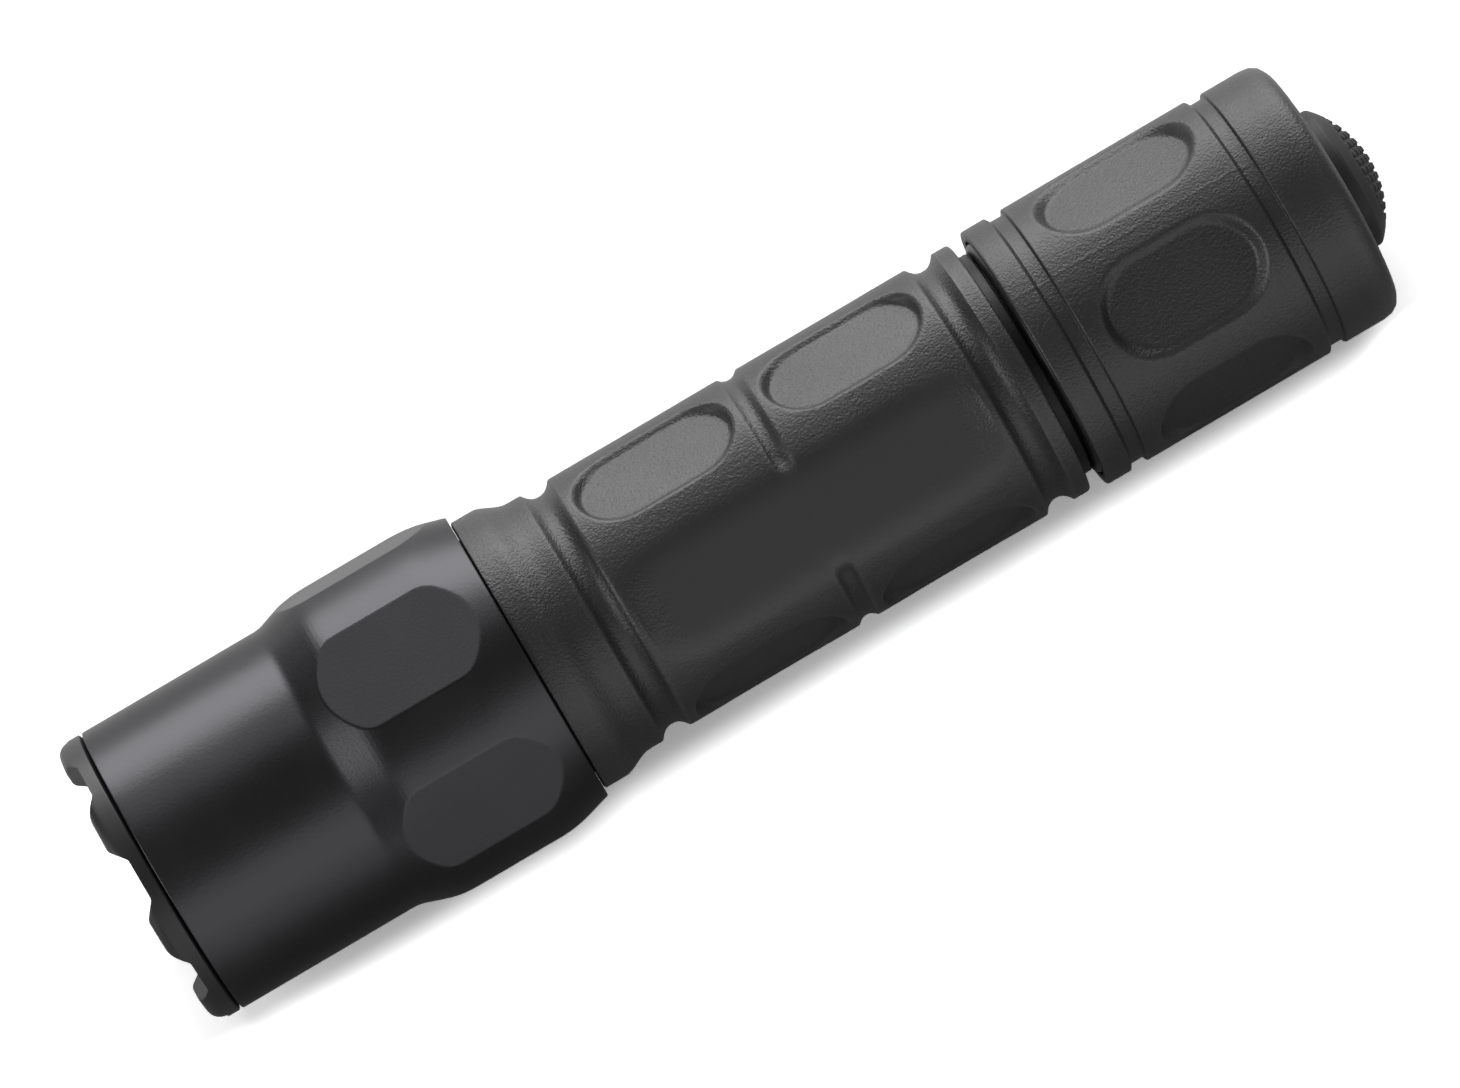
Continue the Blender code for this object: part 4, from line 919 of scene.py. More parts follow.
    def corners(self) -> list[tuple[float, float, float]]:
        """From the front neck along the outside to the tail neck, and back along the bore."""
        at = self.stations
        collar_radius = self.axis.radius(self.node)
        steps = np.linspace(0, 1, self.shoulder_points)[1:-1]
        fall = (1 - np.cos(math.pi * steps)) / 2
        drop = self.grip_radius - collar_radius
        shoulder = [
            (at["shoulder"] + self.shoulder_length * share, collar_radius + drop * down, 0.0)
            for share, down in zip(steps.tolist(), fall.tolist())
        ]
        front_groove = at["collar"] - self.land - self.seal_width
        seal_front = at["seal_rear"] - self.seal_width
        return [
            (at["front"], self.bore, EASE),
            (at["front"], self.front_neck, 0.3),
            (front_groove, self.front_neck, EASE),
            (front_groove, self.seal_floor, EASE),
            (front_groove + self.seal_width, self.seal_floor, EASE),
            (front_groove + self.seal_width, self.front_neck, EASE),
            (at["collar"] - GAP + self.seam_gap, self.front_neck, 0.0),
            (at["collar"] - GAP + self.seam_gap, collar_radius - self.seam_depth, 0.0),
            (at["collar"] - self.seam_shift, collar_radius, EASE),
            (at["shoulder"], collar_radius, 0.5),
            *shoulder,
            (at["shoulder"] + self.shoulder_length, self.grip_radius, 0.4),
            (at["flange_rear"], self.grip_radius, self.flange_edge),
            (at["flange_rear"], self.tail_neck, EASE),
            (seal_front, self.tail_neck, EASE),
            (seal_front, self.tail_groove_floor, EASE),
            (at["seal_rear"], self.tail_groove_floor, EASE),
            (at["seal_rear"], self.tail_neck, EASE),
            (at["thread_front"], self.tail_neck, 0.0),
            (at["thread_front"] + self.thread_front_slope, self.thread_root, 0.0),
            (at["thread_rear"], self.thread_root, 0.0),
            (at["rear"], self.thread_root - self.end_taper, 0.35),
            (at["rear"], self.bore, EASE),
        ]

    def plain(self, station: Grid, radius: Grid, turn: Grid) -> Grid:
        """The pads are smooth, up to their edges."""
        at = self.stations
        side_turn = np.abs(turn_from(turn, self.clock))
        away = radius * np.sin(np.minimum(side_turn, math.pi - side_turn))
        inward = np.minimum(station - at["grip_front"], at["grip_rear"] - station)
        sides = 1 - smooth(away, *self.smooth_sides)
        return smooth(inward, *self.smooth_ends) * sides * (radius > self.pad_floor - self.skin)

    def dress(self, mesh: bpy.types.Mesh) -> bpy.types.Object:
        """Gives everything behind the rear flange a darker copy of the nylon, which is painted shade."""
        piece = super().dress(mesh)
        # Painted shade: the neck gets the darker copy of the nylon.
        mesh.materials.append(Surface.NECK.material())
        centres = np.empty(3 * len(mesh.polygons), dtype=np.float32)
        mesh.polygons.foreach_get("center", centres)
        behind = (self.axis.tip_x - centres[::3]) / MM > self.stations["flange_rear"] + self.neck_start
        mesh.polygons.foreach_set("material_index", behind.astype(np.int32))
        return piece

    def recesses(self) -> list[Recess]:
        """Two recesses in each of the four rows that lie 60 degrees either side of the pads."""
        at = self.stations
        spans = (
            (at["grip_front"] + self.recess_margin, at["middle"] - self.recess_gap),
            (at["middle"] + self.recess_gap, at["grip_rear"] - self.recess_margin),
        )
        return [
            Recess(front, rear, self.clock + sixth * math.pi / 3, self.recess_half_width, self.recess_floor)
            for sixth in (1, 2, 4, 5)
            for front, rear in spans
        ]

    def step_along(self, station: Grid, radius: Grid) -> Grid:
        """Fine over the recesses' round ends, the grooves and the thread."""
        at = self.stations
        outside = radius > self.thread_root - self.skin
        middle = np.abs(station - at["middle"]) < self.recess_gap + self.fine_reach
        front = station < at["grip_front"] + self.recess_margin + self.fine_reach
        rear = station > at["grip_rear"] - self.recess_margin - self.fine_reach
        step = np.where(middle | front | rear, self.fine_step, self.plain_step)
        step = np.where(station < at["first"], self.shoulder_step, step)
        step = np.where(station > at["flange_rear"], self.neck_step, step)
        step = np.where(station > at["thread_front"], self.fine_step, step)
        return np.where(outside & (station > at["collar"]), step, self.coarse)

    def step_round(self, turn: Grid) -> Grid:
        """Fine across the recesses' long sides, less so over their middles and the pads."""
        row = math.pi / 3
        sixth = np.round(turn_from(turn, self.clock) / row)
        away = np.degrees(np.abs(turn_from(turn, self.clock) - sixth * row))
        near, far = self.wall_turns
        panel = np.where(away > near, np.where(away < far, self.wall_step, self.rib_step), self.floor_step)
        return np.where(sixth % 3 == 0, self.rib_step, panel)

    def shape(self, station: Grid, radius: Grid, turn: Grid) -> tuple[Grid, Grid]:
        """Cuts the grooves, the pads, the recesses and the thread into the turned surface.

        A groove takes depth (1 - |2u - 1|^power) off the radius, with u from 0 to 1 across it. A pad
        is the plane floor / cos(angle from its middle), lifted by a quarter circle at each end. The
        thread is a ridge with flat flanks, whose phase falls by one for each turn.
        """
        at = self.stations
        skin = (radius > self.grip_radius - self.outer_skin) & (station > at["shoulder"])
        skin = skin & (station < at["flange_rear"] - self.uncut)

        def groove(start: float, length: float, depth: float, power: float) -> Grid:
            share = np.clip((station - start) / length, 0.0, 1.0)
            return depth * (1 - np.abs(2 * share - 1) ** power)

        level = radius
        for start in (at["first"], at["grip_rear"]):
            level = level - groove(start, self.groove_length, self.groove_depth, self.groove_power)
        side_turn = np.abs(turn_from(turn, self.clock))
        past_pad = smooth(np.degrees(np.minimum(side_turn, math.pi - side_turn)), *self.notch_fade)
        notch_front = at["middle"] - self.notch_length / 2
        level = level - past_pad * groove(notch_front, self.notch_length, self.notch_depth, self.notch_power)
        inward = np.minimum(station - at["grip_front"], at["grip_rear"] - station) - self.pad_margin
        ramp = np.maximum(1 - inward / self.pad_ramp, 0.0)
        rise = self.grip_radius - self.pad_floor + self.pad_rise
        lift = rise * (1 - np.sqrt(np.clip(1 - (ramp / self.ramp_end) ** 2, 0.0, 1.0)))
        lift = lift + self.ramp_climb * np.maximum(ramp - self.ramp_end, 0.0)
        for side in (0.0, math.pi):
            away = np.clip(turn_from(turn, self.clock + side), -self.widest, self.widest)
            level = soft_min(level, (self.pad_floor + lift) / np.cos(away), self.pad_blend)
        for recess in self.recesses():
            level = recess.cut(station, level, turn)
        threaded = radius > self.thread_root - self.thread_skin
        threaded = threaded & (station > at["thread_front"] + self.ridge_start)
        threaded = threaded & (station < at["thread_rear"] + self.ridge_past)
        phase = ((station - at["thread_front"]) / self.pitch - turn / (2 * math.pi)) % 1
        ridge = np.clip(self.thread_steep * (1 - np.abs(1 - 2 * phase)) - self.thread_base, 0.0, 1.0)
        fade_in, fade_out = self.thread_fade
        run_out = smooth(at["thread_rear"] - station, 0.0, fade_out)
        run_out = run_out * smooth(station - at["thread_front"], 0.0, fade_in)
        threads = radius + self.thread_depth * ridge * run_out
        return station, np.where(skin, level, np.where(threaded, threads, radius))


@dataclass
class TailcapShell(TurnedPiece):
    """The moulded tailcap: two grooves, six recesses, a rounded end and the button's hole."""

    name: str = "moulded_tailcap"
    node: str = "tailcap_shell"
    body: str = "tailcap"
    slot: str = "tailcap_shell"
    corner_steps: int = 5
    coarse: float = 2.5
    coarse_turn: float = 4.0
    sharp: float = 50.0
    clock: float = math.radians(28)
    ring_length: float = 2.5
    groove_length: float = 1.8
    groove_depth: float = 0.55
    groove_slope: float = 0.35  # length of a groove's front side
    rear_slope: float = 0.4  # length of its rear side, as a share of that
    barrel: float = 13.35
    end_length: float = 6.1
    end_radius: float = 13.22
    end_round: float = 2.1
    mouth: float = 12.45
    mouth_length: float = 3.1
    bore: float = 11.8
    rear_bore: float = 11.1
    bore_step: tuple[float, float] = (9.9, 10.5)  # from the mouth to where the bore starts and ends narrowing
    web: float = 4.2
    hole: float = 7.3
    recess_margin: float = 1.75
    recess_shift: float = 0.3  # how much nearer the recesses come to the rear groove
    recess_half_width: float = 5.2
    recess_floor: float = 12.1
    recess_wall: float = 0.85
    seam_height: float = 0.02
    seam_width: float = 0.16
    seam_turns: float = 1.0  # degrees either side of a seam with fine columns
    seam_step: float = 0.25  # degrees
    end_middle: float = 2.0  # how far inside a recess's end its fine rows are centred
    end_reach: float = 3.0  # how far they run either side
    end_step: float = 0.14
    plain_step: float = 0.9
    wall_turns: tuple[float, float] = (14.5, 24.5)  # degrees from a recess's middle that hold its side
    wall_step: float = 0.62  # degrees
    panel_step: float = 1.9  # degrees

    def corners(self) -> list[tuple[float, float, float]]:
        """From the mouth along the outside to the button's hole, and back along the bore."""
        front, rear = self.axis.span(self.node)
        ring = self.axis.radius(self.node)
        ring_end = front + self.ring_length
        barrel_front = ring_end + self.groove_length
        end_front = rear - self.end_length
        barrel_rear = end_front - self.groove_length
        slope = self.groove_slope
        return [
            (front, self.mouth, 0.15),
            (front, ring, 0.25),
            (ring_end, ring, EASE),
            (ring_end + slope, ring - self.groove_depth, 0.08),
            (barrel_front - slope * self.rear_slope, ring - self.groove_depth, 0.08),
            (barrel_front, self.barrel, EASE),
            (barrel_rear, self.barrel, EASE),
            (barrel_rear + slope, self.barrel - self.groove_depth, 0.08),
            (end_front - slope * self.rear_slope, self.barrel - self.groove_depth, 0.08),
            (end_front, self.end_radius, EASE),
            (rear, self.end_radius, self.end_round),
            (rear, self.hole, 0.15),
            (rear - self.web, self.hole, EASE),
            (rear - self.web, self.rear_bore, EASE),
            (front + self.bore_step[1], self.rear_bore, EASE),
            (front + self.bore_step[0], self.bore, EASE),
            (front + self.mouth_length, self.bore, EASE),
            (front + self.mouth_length, self.mouth, EASE),
        ]

    def recess_span(self) -> tuple[float, float]:
        """The stations of the recesses' ends."""
        front, rear = self.axis.span(self.node)
        return (
            front + self.ring_length + self.groove_length + self.recess_margin,
            rear - self.end_length - self.groove_length - self.recess_margin + self.recess_shift,
        )

    def step_along(self, station: Grid, radius: Grid) -> Grid:
        """Fine over the recesses' round ends and the grooves."""
        front, rear = self.recess_span()
        front_end = np.abs(station - front - self.end_middle) < self.end_reach
        rear_end = np.abs(station - rear + self.end_middle) < self.end_reach
        outside = np.where(front_end | rear_end, self.end_step, self.plain_step)
        return np.where(radius > self.mouth, outside, self.coarse)

    def step_round(self, turn: Grid) -> Grid:
        """Fine across the recesses' long sides and the mould seams."""
        row = math.pi / 3
        angle = turn_from(turn, self.clock)
        away = np.degrees(np.abs(angle - np.round(angle / row) * row))
        near, far = self.wall_turns
        step = np.where((away > near) & (away < far), self.wall_step, self.panel_step)
        return np.where(np.abs(away - 30) < self.seam_turns, self.seam_step, step)

    def shape(self, station: Grid, radius: Grid, turn: Grid) -> tuple[Grid, Grid]:
        """Cuts the recesses and raises the mould's two seams midway between recesses.

        A seam is the bell height exp(-(arc / width)^2) along the axis, on the outer wall only.
        """
        front, rear = self.recess_span()
        level = radius
        for sixth in range(6):
            middle = self.clock + sixth * math.pi / 3
            pocket = Recess(front, rear, middle, self.recess_half_width, self.recess_floor, self.recess_wall)
            level = pocket.cut(station, level, turn)
        shell_front, shell_rear = self.axis.span(self.node)
        outside = (radius > self.mouth + 0.1) & (station > shell_front + 0.1)
        outside = outside & (station < shell_rear - self.end_length - 0.4)
        for side in (0.0, math.pi):
            arc = radius * turn_from(turn, self.clock - math.pi / 6 + side)
            level = level + np.where(outside, self.seam_height * np.exp(-((arc / self.seam_width) ** 2)), 0.0)
        return station, level


@dataclass
class TailButton(TurnedPiece):
    """The domed button, cut into a waffle of small pads."""

    name: str = "waffle_button"
    node: str = "tail_button"
    body: str = "button"
    slot: str = "tail_button"
    surface: Surface = Surface.BUTTON
    ring: bool = False
    coarse: float = 0.5
    coarse_turn: float = 1.2
    sharp: float = 60.0
    stem: float = 7.1
    flange: float = 9.8
    flange_thickness: float = 2.4
    dome_radius: float = 10.1
    socket: float = 2.1
    socket_depth: float = 4.5
    pitch: float = 0.93
    groove: float = 0.13  # half the width of a groove between pads
    groove_edges: tuple[float, float] = (0.4, 1.7)  # where its sides start and end, in half widths
    relief: float = 0.22
    waffle_radius: float = 5.75
    waffle_fade: float = 0.25  # length over which the grooves run out inside that
    waffle_depth: float = 3.2  # length of the dome, from its apex, that can hold grooves
    waffle_step: float = 0.075
    dome_points: int = 26
    grid_turn: float = math.radians(22.5)

    def corners(self) -> list[tuple[float, float, float]]:
        """From the socket's end round the flange and over the dome to its apex."""
        front, rear = self.axis.span(self.node)
        reach = math.asin(self.stem / self.dome_radius)
        angles = np.linspace(reach, 0.0, self.dome_points)
        stations = rear - self.dome_radius * (1 - np.cos(angles))
        dome = np.stack([stations, self.dome_radius * np.sin(angles), 0 * angles], axis=1)
        edge = dome[0, 0]
        return [
            (front + self.socket_depth, 0.0, 0.0),
            (front + self.socket_depth, self.socket, EASE),
            (front, self.socket, EASE),
            (front, self.flange, 0.2),
            (front + self.flange_thickness, self.flange, 0.2),
            (front + self.flange_thickness, self.stem, 0.15),
            (edge, self.stem, 0.3),
            *map(tuple, dome[2:].tolist()),
        ]

    def step_along(self, station: Grid, radius: Grid) -> Grid:
        """Fine over the waffle."""
        rear = self.axis.span(self.node)[1]
        dome = (station > rear - 3.0) & (radius < self.waffle_radius + 0.2)
        return np.where(dome, self.waffle_step, self.coarse)

    def shape(self, station: Grid, radius: Grid, turn: Grid) -> tuple[Grid, Grid]:
        """Sinks the grooves between the pads.

        On a square grid across the dome, a point's distance to the nearest groove line along either
        direction gives the depth: full within the groove and none past its rounded edge.
        """
        rear = self.axis.span(self.node)[1]
        across = radius * np.sin(turn - self.grid_turn) / self.pitch
        along = radius * np.cos(turn - self.grid_turn) / self.pitch
        nearest = np.minimum(np.abs(across - np.round(across)), np.abs(along - np.round(along))) * self.pitch
        start, end = self.groove_edges
        sink = self.relief * (1 - smooth(nearest, self.groove * start, self.groove * end))
        inside = smooth(self.waffle_radius - radius, 0.0, self.waffle_fade)
        inside = inside * (station > rear - self.waffle_depth)
        return station - sink * inside, radius


@dataclass
class SealRing(TurnedPiece):
    """An O-ring, of which a sliver shows in front of the tailcap."""

    slot: str = "seal_rubber"
    surface: Surface = Surface.SEAL
    coarse: float = 0.2
    coarse_turn: float = 2.5
    inner: float = 10.65
    section: float = 1.5
    section_points: int = 20

    def corners(self) -> list[tuple[float, float, float]]:
        """A circle about the middle of the ring's section."""
        front, rear = self.axis.span(self.node)
        angle = np.linspace(0.0, 2 * math.pi, self.section_points + 1)[:-1]
        half = self.section / 2
        stations = (front + rear) / 2 + half * np.cos(angle)
        circle = np.stack([stations, self.inner + half + half * np.sin(angle), 0 * angle], axis=1)
        return list(map(tuple, circle.tolist()))


@dataclass
class Window(TurnedPiece):
    """The flat glass window with ground edges."""

    name: str = "window"
    node: str = "lens"
    slot: str = "lens"
    surface: Surface = Surface.WINDOW
    ring: bool = False
    coarse: float = 1.2
    sharp: float = 25.0
    bevel: float = 0.25

    def corners(self) -> list[tuple[float, float, float]]:
        """Out along the front face, over the ground edge and back in."""
        front, rear = self.axis.span(self.node)
        outer = self.axis.radius(self.node)
        return [
            (front, 0.0, 0.0),
            (front, outer - self.bevel, 0.0),
            (front + self.bevel, outer, 0.0),
            (rear - self.bevel, outer, 0.0),
            (rear, outer - self.bevel, 0.0),
            (rear, 0.0, 0.0),
        ]


@dataclass
class Reflector(TurnedPiece):
    """The deep mirror bowl behind the window."""

    name: str = "mirror_bowl"
    node: str = "reflector"
    slot: str = "reflector"
    surface: Surface = Surface.REFLECTOR
    coarse: float = 0.6
    coarse_turn: float = 2.5
    rim: float = 1.0
    throat: float = 3.2
    wall: float = 1.0
    bowl_points: int = 40
    clear_points: int = 3  # points at either end of the bowl that its back leaves out

    def corners(self) -> list[tuple[float, float, float]]:
        """Down the bowl, a parabola about the axis with its focus at the light source, and back outside."""
        front, rear = self.axis.span(self.node)
        outer = self.axis.radius(self.node)
        mouth = outer - self.rim
        radii = np.linspace(mouth, self.throat, self.bowl_points)
        four_focal = (mouth**2 - self.throat**2) / (rear - front)
        bowl = np.stack([rear - (radii**2 - self.throat**2) / four_focal, radii, 0 * radii], axis=1)
        back = bowl[self.clear_points : -self.clear_points][::-1] + np.array([self.rim / 2, self.wall, 0.0])
        return [
            *map(tuple, bowl.tolist()),
            (rear, self.throat + self.wall, EASE),
            *map(tuple, back.tolist()),
            (front + self.rim, outer, EASE),
            (front, outer, EASE),
        ]


@dataclass
class LedDome(TurnedPiece):
    """The clear dome over the phosphor."""

    name: str = "phosphor_dome"
    node: str = "led_dome"
    slot: str = "led_phosphor"
    surface: Surface = Surface.PHOSPHOR
    ring: bool = False
    coarse: float = 0.3
    coarse_turn: float = 6.0
    dome_points: int = 16

    def corners(self) -> list[tuple[float, float, float]]:
        """A quarter of an ellipse from the apex to the rim, and the flat base."""
        front, rear = self.axis.span(self.node)
        outer = self.axis.radius(self.node)
        angle = np.linspace(0.0, math.pi / 2, self.dome_points)
        dome = np.stack([rear - (rear - front) * np.cos(angle), outer * np.sin(angle), 0 * angle], axis=1)
        return [*map(tuple, dome.tolist()), (rear, 0.0, 0.0)]


# ============================================================ nodes that keep their frame solids
KEPT_NODES: dict[str, Surface] = {
    "lens_seal": Surface.SEAL,
    "led_package": Surface.CERAMIC,
    "led_centring_ring": Surface.WHITE_NYLON,
    "led_board": Surface.BOARD,
    "led_screw_upper": Surface.STEEL,
    "led_screw_lower": Surface.STEEL,
    "led_wire_red": Surface.RED_WIRE,
    "led_wire_black": Surface.BLACK_WIRE,
    "heat_sink": Surface.BARE_METAL,
    "driver_board": Surface.BOARD,
    "driver_inductor": Surface.FERRITE,
    "front_contact_spring": Surface.GOLD,
    "head_oring": Surface.SEAL,
    "contact_sleeve": Surface.BARE_METAL,
    "front_cell": Surface.SLEEVE,
    "rear_cell": Surface.SLEEVE,
    "cell_spring": Surface.GOLD,
    "switch_retainer": Surface.BRASS,
    "switch_housing": Surface.HOUSING,
    "spring_seat": Surface.BRASS,
    "return_spring": Surface.STEEL,
    "button_seal": Surface.SEAL,
    "plunger": Surface.HOUSING,
    "plunger_tip": Surface.BRASS,
}


def dress_kept_nodes(nodes: Mapping[str, bpy.types.Object]) -> None:
    """Gives each inner piece that keeps its frame solid its finish."""
    for name, surface in KEPT_NODES.items():
        for slot in nodes[name].material_slots:
            slot.link = "OBJECT"
            slot.material = surface.material()
        log.info("kept %s in %s", name, surface.value.name)


# ============================================================ studio
@dataclass
class Studio:
    """Floor, lamps, world and camera."""

    axis: BeamAxis
    view_polar: float = math.radians(67.5)  # the view's direction round the axis, from +Y towards +Z
    roll: float = math.radians(30.44)  # how far the photo turns the light's axis
    distance: float = 0.8
    field_width: float = 0.134  # width of the view at the light
    foot: float = 41.5  # station that the camera stands square to
    aim: float = 62.8  # station in the middle of the picture
    drop: float = 0.55  # mm from the axis down to the middle of the picture
    sensor: float = 36.0  # mm
    floor_half: float = 1.5  # half the width of the floor
    floor_gap: float = 0.00002  # how far the light stays clear of it
    head_rest: float = 4.8  # mm from the head's rear to the end of its lowest flat
    cap_rest: float = 2.0  # mm from the tailcap's rear to where it touches
    paper_white: float = 0.6
    # The sheet's brightness is painted by distance in metres in front of the light: each part goes from one
    # brightness to another between two distances, and the parts add up. The first is as the camera sees it,
    # overexposed so that only a short soft shadow stays, and darker close in front of the light, a painted
    # shadow. The second is as metal and glass
    # mirror it: darker in front of the light and brighter behind it, painted shadow and painted light in
    # those reflections.
    seen: tuple[tuple[float, float, float, float], ...] = ((0.0086, 0.0126, 1.65, 4.4),)
    mirrored_shading: tuple[tuple[float, float, float, float], ...] = (
        (-0.020, 0.018, 1.0, 0.27),
        (0.026, 0.2, 0.0, 0.78),
    )
    head_shadow_reach: float = 0.0015  # how much further forward the painted shadow reaches under the wider head
    head_shadow_fade: tuple[float, float] = (-0.003, 0.006)  # distances from the head's rear over which it does so
    surround: float = 0.15

    def camera(self) -> None:
        """Sets the camera at the photo's angle, square to the axis a little behind the head."""
        back = Vector((0.0, math.cos(self.view_polar), math.sin(self.view_polar)))
        upright = Vector((0.0, -math.sin(self.view_polar), math.cos(self.view_polar)))
        rightward = Vector((-1.0, 0.0, 0.0))
        position = Vector((self.axis.tip_x - self.foot * MM, 0.0, self.axis.height)) + back * self.distance
        target = Vector((self.axis.tip_x - self.aim * MM, 0.0, self.axis.height)) - upright * self.drop * MM
        up_hint = rightward * math.sin(self.roll) + upright * math.cos(self.roll)
        depth = (position - target).normalized()
        right = up_hint.cross(depth).normalized()
        up = depth.cross(right)
        data = bpy.data.cameras.new("studio_camera")
        data.sensor_width = self.sensor
        data.lens = self.sensor * self.distance / self.field_width
        data.clip_start, data.clip_end = 0.01, 50.0
        camera = bpy.data.objects.new("studio_camera", data)
        camera.matrix_world = facing(right, up, depth, position)
        bpy.context.scene.collection.objects.link(camera)
        bpy.context.scene.camera = camera

    def floor(self) -> None:
        """Lays the floor under the head's lowest flat and the tailcap, which tilts it by about a degree."""
        flat_rear = self.axis.span("head_shell")[1] - self.head_rest
        cap_rear = self.axis.span("tailcap_shell")[1] - self.cap_rest
        rise = self.axis.height / MM - self.axis.radius("tailcap_shell")
        slope = math.atan2(rise, cap_rear - flat_rear)
        pivot = self.axis.tip_x - flat_rear * MM
        x = self.floor_half * np.array([-1.0, 1.0, 1.0, -1.0])
        y = self.floor_half * np.array([-1.0, -1.0, 1.0, 1.0])
        corners = np.stack([x * math.cos(slope) + pivot, y, -x * math.sin(slope) - self.floor_gap], axis=1)
        mesh = bpy.data.meshes.new("studio_floor")
        mesh.from_pydata(corners.tolist(), [], [(0, 1, 2, 3)])
        mesh.materials.append(self.paper())
        floor = bpy.data.objects.new("studio_floor", mesh)
        bpy.context.scene.collection.objects.link(floor)

    def paper(self) -> bpy.types.Material:
        """White paper, with painted shadow in front of the light for the camera and in mirrors, and painted
        light behind it in mirrors.
        """
        material = bpy.data.materials.new("white_paper_painted_shadow")
        material.use_nodes = True
        tree = material.node_tree
        tree.nodes.clear()
        place = add_node(tree, "ShaderNodeTexCoord").outputs["Object"]
        along, across, _ = add_node(tree, "ShaderNodeSeparateXYZ", links={"Vector": place}).outputs
        # The painted shadow reaches further forward under the wider head.
        head_rear = self.axis.tip_x - self.axis.span("head_shell")[1] * MM
        start, end = self.head_shadow_fade
        reach = self.ramp(tree, along, (head_rear + start, head_rear + end, 0.0, self.head_shadow_reach))
        nearer = add_node(tree, "ShaderNodeMath", {"operation": "SUBTRACT"}, {0: across, 1: reach}).outputs[0]
        path = add_node(tree, "ShaderNodeLightPath")
        mirrored = add_node(
            tree,
            "ShaderNodeMath",
            {"operation": "MAXIMUM"},
            {0: path.outputs["Is Glossy Ray"], 1: path.outputs["Is Transmission Ray"]},
        ).outputs[0]
        # What metal and glass mirror: the paper, darker in front of the light and brighter behind it, painted
        # shadow and painted light.
        level = add_node(
            tree,
            "ShaderNodeMix",
            {"A": self.paper_white},
            {"Factor": mirrored, "B": self.graded(tree, across, self.mirrored_shading)},
        ).outputs[0]
        # What the camera sees: the overexposed paper, with a painted shadow close in front of the light.
        level = add_node(
            tree,
            "ShaderNodeMix",
            links={
                "Factor": path.outputs["Is Camera Ray"],
                "A": level,
                "B": self.graded(tree, nearer, self.seen),
            },
        ).outputs[0]
        paper = add_node(tree, "ShaderNodeBsdfDiffuse", links={"Color": level})
        add_node(tree, "ShaderNodeOutputMaterial", links={"Surface": paper.outputs[0]})
        return material

    def ramp(
        self, tree: bpy.types.NodeTree, place: bpy.types.NodeSocket, part: tuple[float, float, float, float]
    ) -> bpy.types.NodeSocket:
        """Climbs or falls smoothly between two places.

        Args:
            tree: The material's tree.
            place: Where along the ramp a point lies, in metres.
            part: Start and end of the ramp, and its values there.

        Returns:
            The value at each point.
        """
        start, end, low, high = part
        return add_node(
            tree,
            "ShaderNodeMapRange",
            {
                "interpolation_type": "SMOOTHSTEP",
                "From Min": start,
                "From Max": end,
                "To Min": low,
                "To Max": high,
            },
            {"Value": place},
        ).outputs["Result"]

    def graded(
        self,
        tree: bpy.types.NodeTree,
        depth: bpy.types.NodeSocket,
        parts: Sequence[tuple[float, float, float, float]],
    ) -> bpy.types.NodeSocket:
        """Adds up the parts of a painted ramp of the paper's brightness.

        Args:
            tree: The material's tree.
            depth: The distance in front of the light, in metres.
            parts: Start, end and the values there, for each part.

        Returns:
            The brightness.
        """
        total = self.ramp(tree, depth, parts[0])
        for part in parts[1:]:
            share = self.ramp(tree, depth, part)
            total = add_node(tree, "ShaderNodeMath", {"operation": "ADD"}, {0: total, 1: share}).outputs[0]
        return total

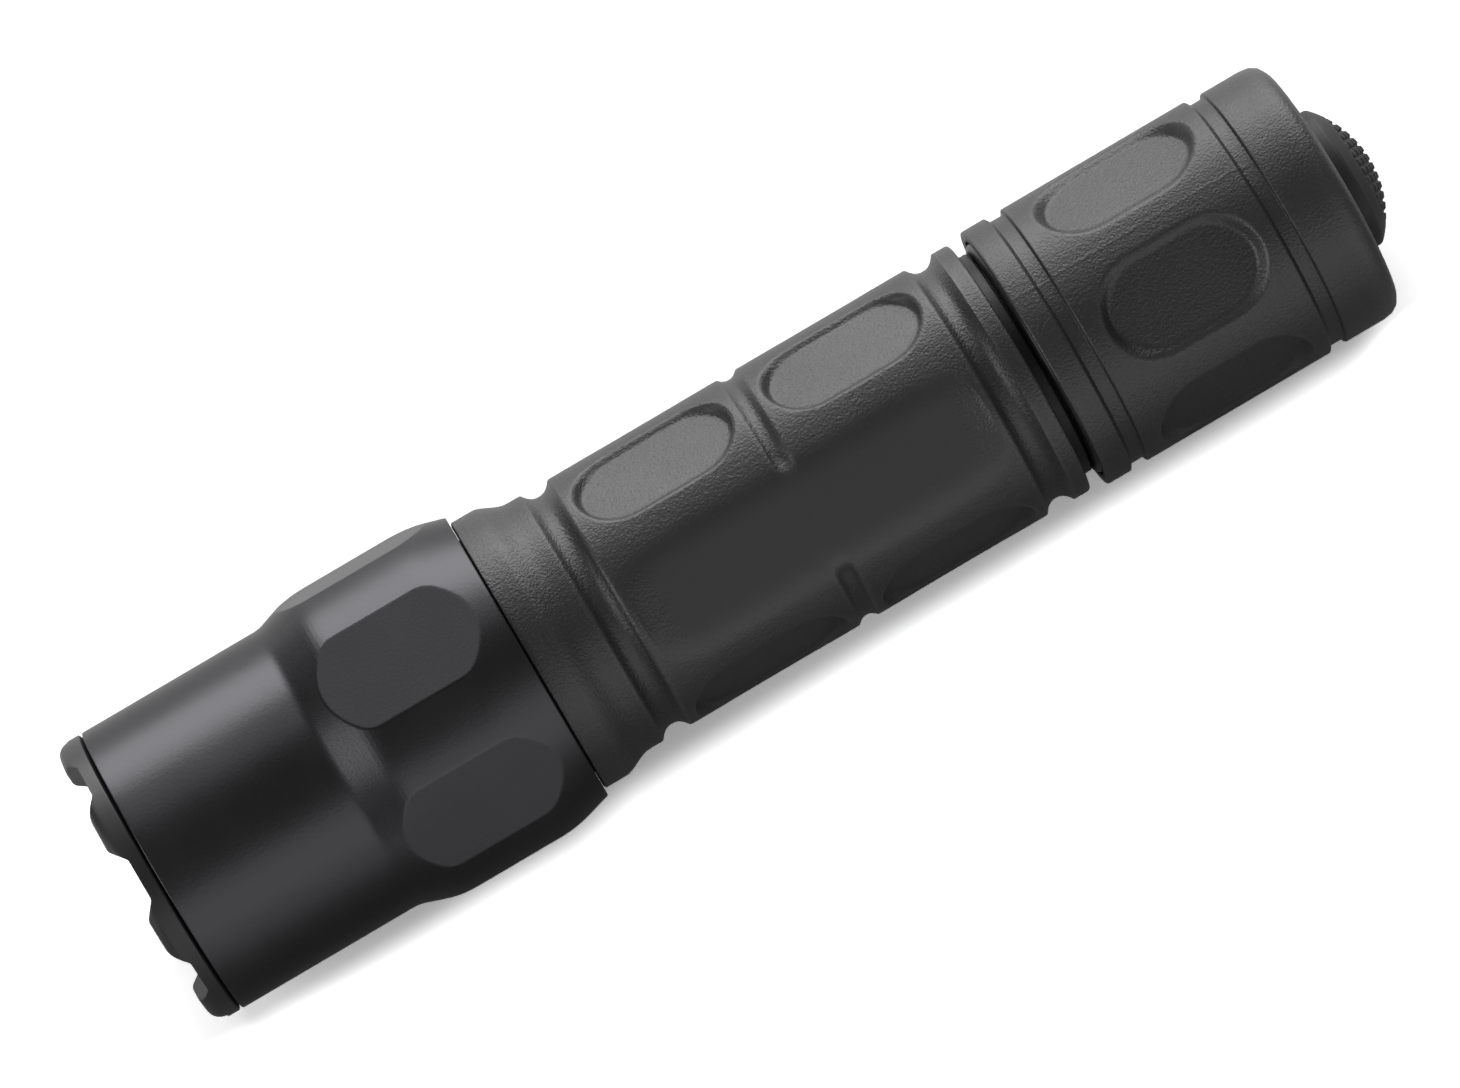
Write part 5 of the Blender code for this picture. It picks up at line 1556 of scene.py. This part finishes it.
    def lamp(
        self,
        name: str,
        polar: float,
        along: float,
        distance: float,
        size: tuple[float, float],
        radiance: float,
    ) -> None:
        """Hangs a soft box that faces the light.

        Args:
            name: The lamp's name.
            polar: Its direction round the beam axis, in degrees from +Y towards +Z.
            along: How far it stands towards the bezel, in metres.
            distance: Its distance from the axis, in metres.
            size: Its width along the axis and its height, in metres.
            radiance: How bright its face is, where 1 is a white surface in full light.
        """
        data = bpy.data.lights.new(name, "AREA")
        data.shape = "RECTANGLE"
        data.size, data.size_y = size
        data.energy = radiance * math.pi * size[0] * size[1]
        lamp = bpy.data.objects.new(name, data)
        angle = math.radians(polar)
        place = Vector((along, distance * math.cos(angle), self.axis.height + distance * math.sin(angle)))
        depth = (place - Vector((0.0, 0.0, self.axis.height))).normalized()
        upward = Vector((0.0, -math.sin(angle), math.cos(angle)))
        across = upward.cross(depth).normalized()
        upward = depth.cross(across)
        lamp.matrix_world = facing(across, upward, depth, place)
        bpy.context.scene.collection.objects.link(lamp)

    def lights(self) -> None:
        """A bright soft box low behind the light, a weak one over it, and two that fill in from the front."""
        self.lamp("back_softbox", 156.0, -0.3, 1.1, (1.5, 0.86), 4.4)
        self.lamp("upper_softbox", 117.0, -0.2, 1.3, (1.2, 0.55), 0.85)
        self.lamp("front_softbox", 22.5, -0.25, 1.4, (2.1, 1.12), 0.92)
        self.lamp("bezel_side_softbox", 74.0, 1.1, 0.62, (1.0, 0.8), 2.8)

    def world(self) -> None:
        """White to the eye, and a weak grey in what lights the object."""
        world = bpy.data.worlds.new("studio_world")
        bpy.context.scene.world = world
        world.use_nodes = True
        tree = world.node_tree
        tree.nodes.clear()
        strength = add_node(
            tree,
            "ShaderNodeMath",
            {"operation": "MAXIMUM", 1: self.surround},
            {0: add_node(tree, "ShaderNodeLightPath").outputs["Is Camera Ray"]},
        ).outputs[0]
        seen = add_node(tree, "ShaderNodeBackground", {"Color": linear("#ffffff")}, {"Strength": strength})
        add_node(tree, "ShaderNodeOutputWorld", links={"Surface": seen.outputs[0]})

    def build(self) -> None:
        """Sets the whole studio."""
        self.camera()
        self.floor()
        self.lights()
        self.world()
        bpy.context.scene.view_settings.view_transform = "Standard"


# ============================================================ the whole light
def pieces(axis: BeamAxis) -> list[TurnedPiece]:
    """The pieces made anew, from the bezel to the button."""
    return [
        BezelRing(axis),
        Window(axis),
        Reflector(axis),
        LedDome(axis),
        HeadShell(axis),
        GripBody(axis),
        SealRing(axis, name="tail_seal", node="tail_oring"),
        TailcapShell(axis),
        TailButton(axis),
    ]


def main() -> None:
    """Builds the pieces in order, dresses the kept nodes and sets the studio."""
    logging.basicConfig(level=logging.INFO, format="%(name)s: %(message)s")
    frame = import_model()
    axis = BeamAxis.from_frame()
    for piece in pieces(axis):
        built = piece.build()
        log.info("built %s with %d faces", built.name, len(built.data.polygons))
    dress_kept_nodes(frame["nodes"])
    Studio(axis).build()


if __name__ == "__main__":
    main()
